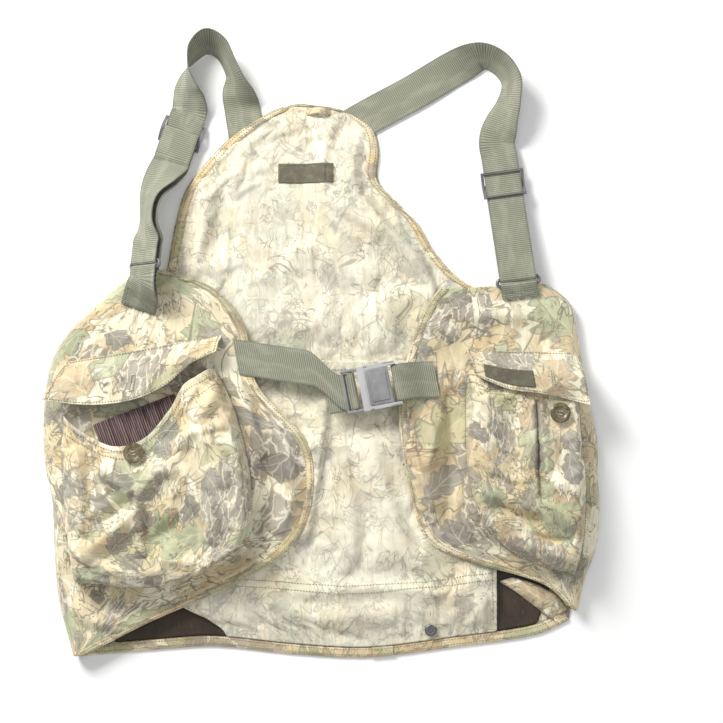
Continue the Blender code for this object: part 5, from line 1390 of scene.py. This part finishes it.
def makeElasticBand(side, front):
    one, two = (fit(*point) for point in elasticLooks[side])
    down = (two - one).cross(Vector((0, 0, 1))).normalized()
    length = (two - one).length

    def surface(u, v):
        point = one.lerp(two, v) + down * (u - 0.5) * 0.034
        loops = 0.0034 * (1 - math.cos(5 * tau * v)) / 2
        ruche = 0.0007 * math.sin(v * length / 0.0036 * tau + 1.1 * math.sin(u * 4 + v * 17) + 0.7 * math.sin(v * 41))
        return Vector((point.x, point.y, frontTop + 0.0014 + loops + ruche))
    piece = gridPiece(f"{side}ShellElastic", surface, 20, 180, "elastic",
                      printed=lambda u, v: (u * 0.034, v * length * 1.3), printAt=(15.0, 0.2))
    restOn(piece, front, 0.0012)
    thicken(piece, 0.0012)
    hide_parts(f"{side}_shell_elastic")
    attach(piece, "vest")
    return piece


# Webbing: a strap's middle line with the way its width points, read by distance.
webbing = {"width": 0.038, "thick": 0.0014, "gap": 0.0003, "rib": 0.0021, "ribHigh": 0.00010}
barRadius = 0.0013
sewnLift = -(webbing["thick"] + webbing["gap"])
middleBarLift = sewnLift - webbing["thick"] / 2 - webbing["gap"] - barRadius
returnLift = middleBarLift - barRadius - webbing["gap"] - webbing["thick"] / 2
endBarLift = webbing["thick"] / 2 + webbing["gap"] + barRadius
ringLift = returnLift / 2
loopRadius = -ringLift
tabRadius = 0.0018 + webbing["gap"] + webbing["thick"] / 2
ringLength = loopRadius + tabRadius + webbing["thick"] + webbing["gap"]
pinch = (webbing["thick"] + 2 * webbing["gap"]) / 2
onFront = frontTop + 0.0003
strapLow = 0.0014 + 0.00045 + webbing["thick"] / 2
slackLow = webbing["thick"] / 2 + 0.0003
rightTabLow = onFront + webbing["thick"] / 2 + pinch - ringLift
rightRingLow = onFront + webbing["thick"] / 2 + tabRadius - ringLift
rightRunLow = webbing["thick"] / 2 + 0.0003 - returnLift + 0.001
leftTabLow = onFront + webbing["thick"] / 2 + pinch + ringLift + 0.0006
leftRunLow = endBarLift + barRadius + 0.003


def levelRun(start, end, across, count):
    return [(*Vector(start).lerp(Vector(end), k / (count - 1)), *across) for k in range(count)]


strapLooks = {
    "right": {"face": 1, "glide": (0.191, 0.166), "tab": 0.014, "rows": [
        (0.030, 0.229, strapLow, -0.49, 0.87, 0.00),
        (0.056, 0.244, strapLow, -0.49, 0.87, 0.00),
        (0.100, 0.268, strapLow, -0.49, 0.87, 0.00),
        (0.140, 0.291, slackLow, -0.42, 0.85, 0.30),
        (0.167, 0.302, slackLow, -0.05, 0.60, 0.80),
        (0.187, 0.295, slackLow, 0.36, 0.28, 0.89),
        (0.200, 0.276, slackLow, 0.45, 0.06, 0.89),
        (0.197, 0.252, slackLow, 0.62, 0.04, 0.78),
        (0.190, 0.232, 0.003, 0.86, 0.08, 0.48),
        *levelRun((0.1852, 0.2125, rightRunLow), (0.2045, 0.072, rightRingLow), (0.99, 0.135, 0.0), 10),
        (0.2065, 0.057, rightRingLow, 0.99, 0.135, 0.00),
        (0.2080, 0.045, rightTabLow, 0.99, 0.135, 0.00)]},
    "left": {"face": -1, "glide": (-0.1480, 0.222), "tab": 0.046, "rows": [
        (-0.079, 0.206, strapLow, 0.99, 0.06, 0.00),
        (-0.081, 0.226, strapLow, 0.99, 0.06, 0.00),
        (-0.083, 0.238, strapLow, 0.99, 0.06, 0.00),
        (-0.0850, 0.251, strapLow, 0.99, 0.06, 0.00),
        (-0.0880, 0.264, strapLow, 0.86, 0.08, 0.45),
        (-0.0915, 0.277, slackLow, 0.52, 0.10, 0.84),
        (-0.096, 0.290, slackLow, 0.33, 0.18, 0.92),
        (-0.106, 0.310, slackLow, 0.22, 0.42, 0.88),
        (-0.121, 0.3180, slackLow, -0.05, 0.52, 0.85),
        (-0.134, 0.308, slackLow, -0.20, 0.22, 0.95),
        (-0.1415, 0.290, slackLow, 0.16, 0.05, 0.98),
        (-0.1425, 0.270, slackLow, 0.66, 0.05, 0.74),
        (-0.1405, 0.257, 0.004, 0.93, -0.12, 0.34),
        *levelRun((-0.1400, 0.246, leftRunLow), (-0.1600, 0.187, leftRunLow), (0.947, -0.322, 0.0), 8),
        (-0.1680, 0.168, 0.008, 0.84, -0.28, 0.46),
        (-0.1750, 0.146, 0.010, 0.50, -0.10, 0.86),
        (-0.1770, 0.122, 0.014, 0.44, 0.00, 0.90),
        *levelRun((-0.1775, 0.106, 0.020), (-0.1815, 0.062, 0.0245), (0.74, -0.06, 0.67), 6),
        (-0.1840, 0.053, 0.0235, 0.88, -0.22, 0.42),
        (-0.1870, 0.045, 0.021, 0.94, -0.28, 0.16),
        (-0.1905, 0.036, leftTabLow, 0.96, -0.28, 0.00)]},
}


def routeOf(rows):
    placed = []
    for x, y, low, *across in rows:
        across = Vector(across).normalized()
        placed.append([*fit(x, y, low + abs(across.z) * webbing["width"] / 2), *across])
    fine = spreadRows(placed, 241)
    return {"rows": fine, "length": sum(math.dist(a[:3], b[:3]) for a, b in zip(fine, fine[1:]))}


def spreadRows(rows, count):
    rows = [rows[0], *rows, rows[-1]]
    fine = []
    for k in range(1, len(rows) - 2):
        for step in range(20):
            t = step / 20
            fine.append([0.5 * (2 * b + (c - a) * t + (2 * a - 5 * b + 4 * c - d) * t * t
                                + (3 * b - a - 3 * c + d) * t ** 3)
                         for a, b, c, d in zip(*rows[k - 1:k + 3])])
    fine.append(rows[-2])
    return resample(fine, count)


def routeFrame(route, distance):
    rows = route["rows"]
    share = min(max(distance / route["length"], 0.0), 1.0) * (len(rows) - 1)
    k = min(int(share), len(rows) - 2)
    mid = [mix(a, b, share - k) for a, b in zip(rows[k], rows[k + 1])]
    along = (Vector(rows[min(k + 2, len(rows) - 1)][:3]) - Vector(rows[max(k - 1, 0)][:3])).normalized()
    across = Vector(mid[3:])
    across = (across - along * across.dot(along)).normalized()
    extra = distance - min(max(distance, 0.0), route["length"])
    return Vector(mid[:3]) + along * extra, along, across, along.cross(across)


def nearestOn(route, x, y):
    spot = fit(x, y)
    steps = [route["length"] * k / 400 for k in range(401)]
    return min(steps, key=lambda d: (routeFrame(route, d)[0].xy - spot.xy).length)


# A woven ribbon through rows of (middle, across, up), with raised ribs and a soft cup.
def makeRibbon(name, place, length, replaced, body, printAt=(0.0, 0.0), cup=0.0, hemmed=(False, False)):
    count = max(8, int(length / (webbing["rib"] / 4)))

    def surface(u, v):
        middle, across, up = place(v)
        side = (u - 0.5) * webbing["width"]
        rib = webbing["ribHigh"] * math.sin(tau * v * length / webbing["rib"])
        bow = cup * (1 - 4 * (u - 0.5) ** 2)
        return middle + across * side + up * (rib + bow)
    piece = gridPiece(name, surface, 10, count, "webbing",
                      printed=lambda u, v: ((u - 0.5) * webbing["width"], v * length + printAt[1]))
    shell = piece.modifiers.new("thickness", "SOLIDIFY")
    shell.thickness = webbing["thick"] * 0.82
    shell.offset = 0.0
    edge = piece.modifiers.new("selvage", "BEVEL")
    edge.width = 0.00035
    edge.segments = 2
    edge.limit_method = "ANGLE"
    edge.angle_limit = math.radians(60)
    if replaced:
        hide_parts(*replaced)
    if body:
        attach(piece, body)
    return piece


def pathReader(path, point):
    reach = [0.0]
    spots = [Vector(p) for p in path]
    for one, two in zip(spots, spots[1:]):
        reach.append(reach[-1] + (two - one).length)

    def place(v):
        want = v * reach[-1]
        k = 0
        while k < len(path) - 2 and reach[k + 1] < want:
            k += 1
        t = (want - reach[k]) / max(reach[k + 1] - reach[k], 1e-9)
        before = (spots[max(k, 1)] - spots[max(k, 1) - 1]).normalized() if k else None
        here = (spots[k + 1] - spots[k]).normalized()
        after = (spots[min(k + 2, len(spots) - 1)] - spots[min(k + 1, len(spots) - 2)])
        after = after.normalized() if after.length > 1e-9 else here
        start = (before + here).normalized() if before is not None else here
        end = (here + after).normalized() if k < len(path) - 2 else here
        slope = start.lerp(end, t).normalized()
        return point(spots[k].lerp(spots[k + 1], t), slope)
    return place, reach[-1]


def halfTurn(centre, radius, steps, first=0):
    turns = [math.pi * k / steps for k in range(first, steps + 1)]
    return [(centre[0] + radius * math.sin(a), centre[1] + radius * math.cos(a)) for a in turns]


def makeStrap(side):
    look = strapLooks[side]
    face = look["face"]
    route = routeOf(look["rows"])
    ringAt = route["length"] - look["tab"] - ringLength
    glideAt = nearestOn(route, *look["glide"])

    def ribbonOf(name, path, replaced, body, cup=0.0):
        def point(spot, slope):
            middle, along, across, up = routeFrame(route, spot.x)
            normal = (up * slope.x * face - along * slope.y).normalized()
            return middle + up * spot.y * face, across, normal
        place, length = pathReader([Vector((d, h)) for d, h in path], point)
        return makeRibbon(name, place, length, replaced, body, cup=cup)
    path = [(ringAt * k / 220, 0.0) for k in range(221)]
    path += halfTurn((ringAt, ringLift), loopRadius, 12, first=1)
    path.append((ringAt - 0.0117, returnLift))
    ribbonOf(f"{side}Strap", path, [f"{side}_strap_webbing"], "vest")
    start = ringAt - 0.012
    path = [(mix(start, glideAt, k / 60), returnLift) for k in range(61)]
    path += halfTurn((glideAt, middleBarLift), returnLift - middleBarLift, 10, first=1)
    path += [(glideAt + 0.0065, sewnLift), (glideAt + 0.013, sewnLift)]
    back = ribbonOf(f"{side}Return", path, [f"{side}_strap_return"], None)
    low = routeFrame(route, start)[0]
    high = routeFrame(route, glideAt + 0.022)[0]
    tuple(low)
    tuple(low.lerp(high, 0.75))
    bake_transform(back)
    barAt = ringAt + ringLength
    end = barAt + look["tab"]
    middle = barAt + look["tab"] / 2
    upper = [(mix(end, middle, k / 10), ringLift + pinch) for k in range(11)]
    lower = [(d, ringLift - pinch) for d, h in reversed(upper)]
    turn = [(barAt - reach, h) for reach, h in halfTurn((0.0, ringLift), tabRadius, 12)]
    ribbonOf(f"{side}Tab", upper + turn + lower, [f"{side}_anchor_tab"], "vest")

    # Box stitching on the tab, with one diagonal row across the box
    half = webbing["width"] / 2 - 0.003
    top = ringLift + pinch + webbing["thick"] / 2 if face > 0 else ringLift - pinch - webbing["thick"] / 2

    def stitched(corners):
        run = []
        for (d1, s1), (d2, s2) in zip(corners, corners[1:]):
            for k in range(13):
                middle, along, across, up = routeFrame(route, mix(d1, d2, k / 12))
                run.append((middle + up * top * face + across * mix(s1, s2, k / 12), up if up.z > 0 else -up))
        return run
    near = end - min(look["tab"] * 0.55, 0.020)
    box = [(near, -half), (end - 0.002, -half), (end - 0.002, half), (near, half), (near, -half)]
    seams = sewStitches(f"{side}TabStitches", [stitched(box), stitched([(near, -half), (end - 0.002, half)])], skin="webThread")
    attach(seams, "vest")


# Chest webbing and the buckle it runs through
buckleLook = {"place": (0.047, -0.050), "height": 0.032, "turn": 11.0, "fall": 9.0, "bar": 0.0026, "endBar": 0.0030,
              "ladderBar": 0.0040, "slot": 0.0052, "nose": 0.0065, "socket": 0.024, "wall": 0.0017}
buckleSpot = Matrix.Translation(fit(*buckleLook["place"], buckleLook["height"])) @ Matrix.Rotation(math.radians(buckleLook["turn"]), 4, "Z")
barHalf = buckleLook["bar"] / 2
endWrap = math.hypot(buckleLook["endBar"] / 2, barHalf) + 0.0003 + webbing["thick"] / 2
ladderWrap = math.hypot(buckleLook["ladderBar"] / 2, barHalf) + 0.0003 + webbing["thick"] / 2
socketLength = buckleLook["socket"] + buckleLook["wall"] + buckleLook["slot"] + buckleLook["endBar"]
ladderX = -buckleLook["nose"] - buckleLook["slot"] - buckleLook["ladderBar"] / 2
rearX = ladderX - buckleLook["ladderBar"] / 2 - buckleLook["slot"] - buckleLook["endBar"]
onTape = frontTop + 0.0016 + webbing["thick"] / 2


def chestRibbon(name, path, moved, replaced, body):
    def point(spot, slope):
        here = moved(Vector((spot.x, 0, spot.y)))
        one = moved(Vector((spot.x - 0.0005 * slope.x, 0, spot.y - 0.0005 * slope.y)))
        two = moved(Vector((spot.x + 0.0005 * slope.x, 0, spot.y + 0.0005 * slope.y)))
        along = (two - one).normalized()
        across = Vector((0, 1, 0))
        up = along.cross(across).normalized()
        turn = buckleSpot.to_3x3()
        return buckleSpot @ here, turn @ across, turn @ up
    place, length = pathReader([Vector(p) for p in path], point)
    return makeRibbon(name, place, length, replaced, body)


def makeChestWebbing():
    barX = socketLength - buckleLook["endBar"] / 2
    sewn = onTape - buckleLook["height"]
    reach = fit(0.121 - buckleLook["place"][0], 0).x
    path = [(barX + 0.008, -endWrap)]
    path += [(barX - d, z) for d, z in reversed(halfTurn((0.0, 0.0), endWrap, 12))]
    for k in range(1, 25):
        share = k / 24
        path.append((mix(barX, reach, share), endWrap + (sewn - endWrap) * ease(share * 1.3)))
    begin = barX + 0.004

    def turnLevel(point):
        if point.x < begin:
            return point
        swing = -math.radians(buckleLook["turn"]) * ease((point.x - begin) / (reach - begin))
        return Vector((point.x, point.y + (point.x - begin) * math.tan(swing) / 2, point.z))
    right = chestRibbon("rightChestWebbing", path, turnLevel, ["right_chest_webbing"], "vest")
    under = -barHalf - 0.0003 - webbing["thick"] / 2
    below = under - webbing["thick"] - 0.0009
    anchor = buckleSpot.inverted() @ fit(-0.089, -0.016, onTape)
    path = []
    for k in range(60):
        share = k / 59
        path.append((mix(anchor.x, rearX, share), mix(anchor.z, under, ease((share - 0.20) / 0.50))))
    path.append((rearX + buckleLook["endBar"], under))
    for k in range(13):
        angle = math.pi * k / 12
        path.append((ladderX - ladderWrap * math.cos(angle), ladderWrap * math.sin(angle)))
    path += [(ladderX + ladderWrap * 0.95, below * 0.5), (ladderX + ladderWrap * 0.6, below), (ladderX, below)]
    slope = math.tan(math.radians(buckleLook["fall"] + buckleLook["turn"]))
    jog = anchor.y - slope * (rearX - anchor.x)

    def fallAway(point):
        out = rearX - point.x
        if out < 0:
            return point
        return Vector((point.x, point.y + jog * ease(out / 0.030) + slope * out, point.z))
    left = chestRibbon("leftChestWebbing", path, fallAway, ["left_chest_webbing"], None)
    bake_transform(left)
    tail = [(ladderX - 0.0003, below), (rearX, below), (rearX - 0.018, below)]
    chestRibbon("chestWebbingTail", tail, lambda point: point, ["chest_webbing_tail"], "plug")


# A CAD piece that keeps its shape: softened edges and a better finish.
def finishNode(name, skin, soften=0.0, segments=2):
    piece = nodes[name]
    piece.data.materials.clear()
    piece.data.materials.append(skins[skin])
    if soften:
        tidy = piece.modifiers.new("flatten", "DECIMATE")
        tidy.decimate_type = "DISSOLVE"
        tidy.angle_limit = math.radians(4)
        edge = piece.modifiers.new("softEdges", "BEVEL")
        edge.width = soften
        edge.segments = segments
        edge.limit_method = "ANGLE"
        edge.angle_limit = math.radians(40)
        edge.harden_normals = False


def plate(name, low, high, place, soften, skin, body):
    bm = bmesh.new()
    bmesh.ops.create_cube(bm, size=1.0)
    for vert in bm.verts:
        vert.co = Vector([low[i] if vert.co[i] < 0 else high[i] for i in range(3)])
    bmesh.ops.bevel(bm, geom=bm.edges[:], offset=soften, segments=3, affect="EDGES", profile=0.5)
    bm.transform(place)
    mesh = bpy.data.meshes.new(name)
    bm.to_mesh(mesh)
    bm.free()
    mesh.shade_smooth()
    mesh.materials.append(skins[skin])
    piece = bpy.data.objects.new(name, mesh)
    bpy.context.scene.collection.objects.link(piece)
    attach(piece, body)
    return piece


# Raised panels, rails and thumb ridges of the chest buckle: low corner, high corner, softness.
buckleDetail = {
    "vest": [((0.0012, -0.0190, 0.0050), (0.0252, 0.0190, 0.0063), 0.0009), ((0.0040, -0.0155, 0.0060), (0.0225, 0.0155, 0.0070), 0.0008),
             ((0.0006, -0.0232, -0.0050), (0.0045, -0.0212, 0.0060), 0.0007), ((0.0006, 0.0212, -0.0050), (0.0045, 0.0232, 0.0060), 0.0007),
             ((0.0212, -0.0232, -0.0050), (0.0330, -0.0212, 0.0056), 0.0007), ((0.0212, 0.0212, -0.0050), (0.0330, 0.0232, 0.0056), 0.0007)],
    "plug": [((-0.0236, -0.0229, -0.0020), (-0.0010, -0.0197, 0.0030), 0.0008), ((-0.0236, 0.0197, -0.0020), (-0.0010, 0.0229, 0.0030), 0.0008),
             ((-0.0237, -0.0200, 0.0008), (-0.0211, 0.0200, 0.0024), 0.0006), ((-0.0062, -0.0200, 0.0008), (-0.0012, 0.0200, 0.0026), 0.0008)],
}


def detailBuckle():
    for body, plates in buckleDetail.items():
        for k, (low, high, soften) in enumerate(plates):
            plate(f"{body}BucklePanel{k + 1}", low, high, buckleSpot, soften, "buckle", body)


def labelPiece(name, low, high, height, replaced, body, skin="label"):
    def surface(u, v):
        x = mix(low[0], high[0], u)
        y = mix(high[1], low[1], v)
        return Vector((x, y, height + 0.0006 * math.sin(u * 5 + v * 2)))
    piece = gridPiece(name, surface, 24, 12, skin, printAt=(17.0, 0.3))
    return piece


def makeLabels(bib):
    for node, name in (("back_label", "backLabel"), ("size_tab", "sizeTab")):
        low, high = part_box(node)
        piece = labelPiece(name, low, high, high.z, node, "vest")
        restOn(piece, bib, 0.0011)
        thicken(piece, 0.0006, finer=1)
        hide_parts(node)
        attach(piece, "vest")
        rim = [(0.03, 0.06), (0.97, 0.06), (0.97, 0.94), (0.03, 0.94), (0.03, 0.06)]
        seams = sewStitches(name + "Stitches", [runOn(piece, rim, 0.0005, 90)], pitch=0.0022, thick=0.0003)
        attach(seams, "vest")


def makePocketLabel(flap):
    def surface(u, v):
        point, normal = onPiece(flap, 0.10 + 0.44 * u, 0.50 + 0.38 * v)
        return point + normal * 0.0013
    piece = gridPiece("pocketLabel", surface, 30, 14, "label", printAt=(18.0, 0.7))
    thicken(piece, 0.0006)
    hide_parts("pocket_label")
    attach(piece, "right_flap")
    rim = [(0.03, 0.06), (0.97, 0.06), (0.97, 0.94), (0.03, 0.94), (0.03, 0.06)]
    seams = sewStitches("pocketLabelStitches", [runOn(piece, rim, 0.0005, 90)], pitch=0.0022, thick=0.0003)
    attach(seams, "right_flap")


def makeHangLoop(height):
    low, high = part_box("hang_loop")

    def surface(u, v):
        x = mix(low.x, high.x, v)
        y = mix(low.y, high.y, u)
        rise = (high.z - low.z - 0.001) * math.sin(math.pi * v)
        return Vector((x, y + 0.002 * math.sin(v * 3), low.z + 0.0006 + rise + 0.0004 * math.sin(u * math.pi)))
    piece = gridPiece("hangLoop", surface, 8, 40, "camoTape", printed=lambda u, v: (u * 0.006, v * 0.03), printAt=(19.0, 0.2))
    thicken(piece, 0.0009, finer=1)
    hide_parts("hang_loop")
    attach(piece, "vest")


# Everything in order
back = makeBack()
bib = makeBib()
liner = makeLinerSheet()
panel = makeBagPanel()
print("back and bag made")
fronts = {side: makeFront(side) for side in ("left", "right")}
for side in ("left", "right"):
    tuckUnder(bib, fronts[side], 0.0022, liningLow.z + 0.0006)
    tuckUnder(panel, fronts[side], 0.0022, liningLow.z + 0.0004)
sewPanel(panel)
pockets = {side: makePocket(side, fronts[side]) for side in ("left", "right")}
flaps = {side: makeFlap(side) for side in ("left", "right")}
for side in ("left", "right"):
    makeElasticBand(side, fronts[side])
makeTurned("turnedCorner", panel)
makeTurned("foldedWall", liner)
print("fronts and pockets made")

makeTape("hemTape", [(at(lines["hem"], k / 149) + Vector((0, 0, 0.0020)), -rightOf(lines["hem"], k / 149), Vector((0, 0, 1)))
                     for k in range(150)], (20.0, 0.3), "hem_binding", low=0.0006)
makeTape("hemTapeEnd", [(at(lines["hem"], 0.59 + 0.045 * k / 9) + Vector((0, 0, 0.0036)), -rightOf(lines["hem"], 0.6), Vector((0, 0, 1)))
                        for k in range(10)], (20.7, 0.6), "hem_binding_end", low=0.0012)
for side in ("left", "right"):
    makeTape(f"{side}FrontTape", edgeRows(fronts[side], 1.0), (21.0 + len(side), 0.9), f"{side}_front_binding")
bibRows = edgeRows(bib, 0.0, 0.02, 0.99) + list(reversed(edgeRows(bib, 1.0, 0.02, 0.99)))
makeTape("bibTape", bibRows, (23.4, 0.2), "back_binding")
makeLabels(bib)
makePocketLabel(flaps["right"])
makeHangLoop(0.006)
print("tapes and labels made")

for side in ("right", "left"):
    makeStrap(side)
makeChestWebbing()
for name in ("left_tri_glide", "right_tri_glide", "left_strap_ring", "right_strap_ring"):
    finishNode(name, "plastic", 0.0004)
for name in ("buckle_socket", "buckle_plug", "upper_buckle_arm", "lower_buckle_arm"):
    finishNode(name, "buckle", 0.0008, 3)
detailBuckle()
for name in ("left_pocket_button", "right_pocket_button"):
    finishNode(name, "button")
for name in ("left_button_thread", "right_button_thread"):
    finishNode(name, "paleThread")
for name in ("snap_cap", "snap_socket", "snap_stud", "snap_post"):
    finishNode(name, "metal")
print("straps and hardware made")
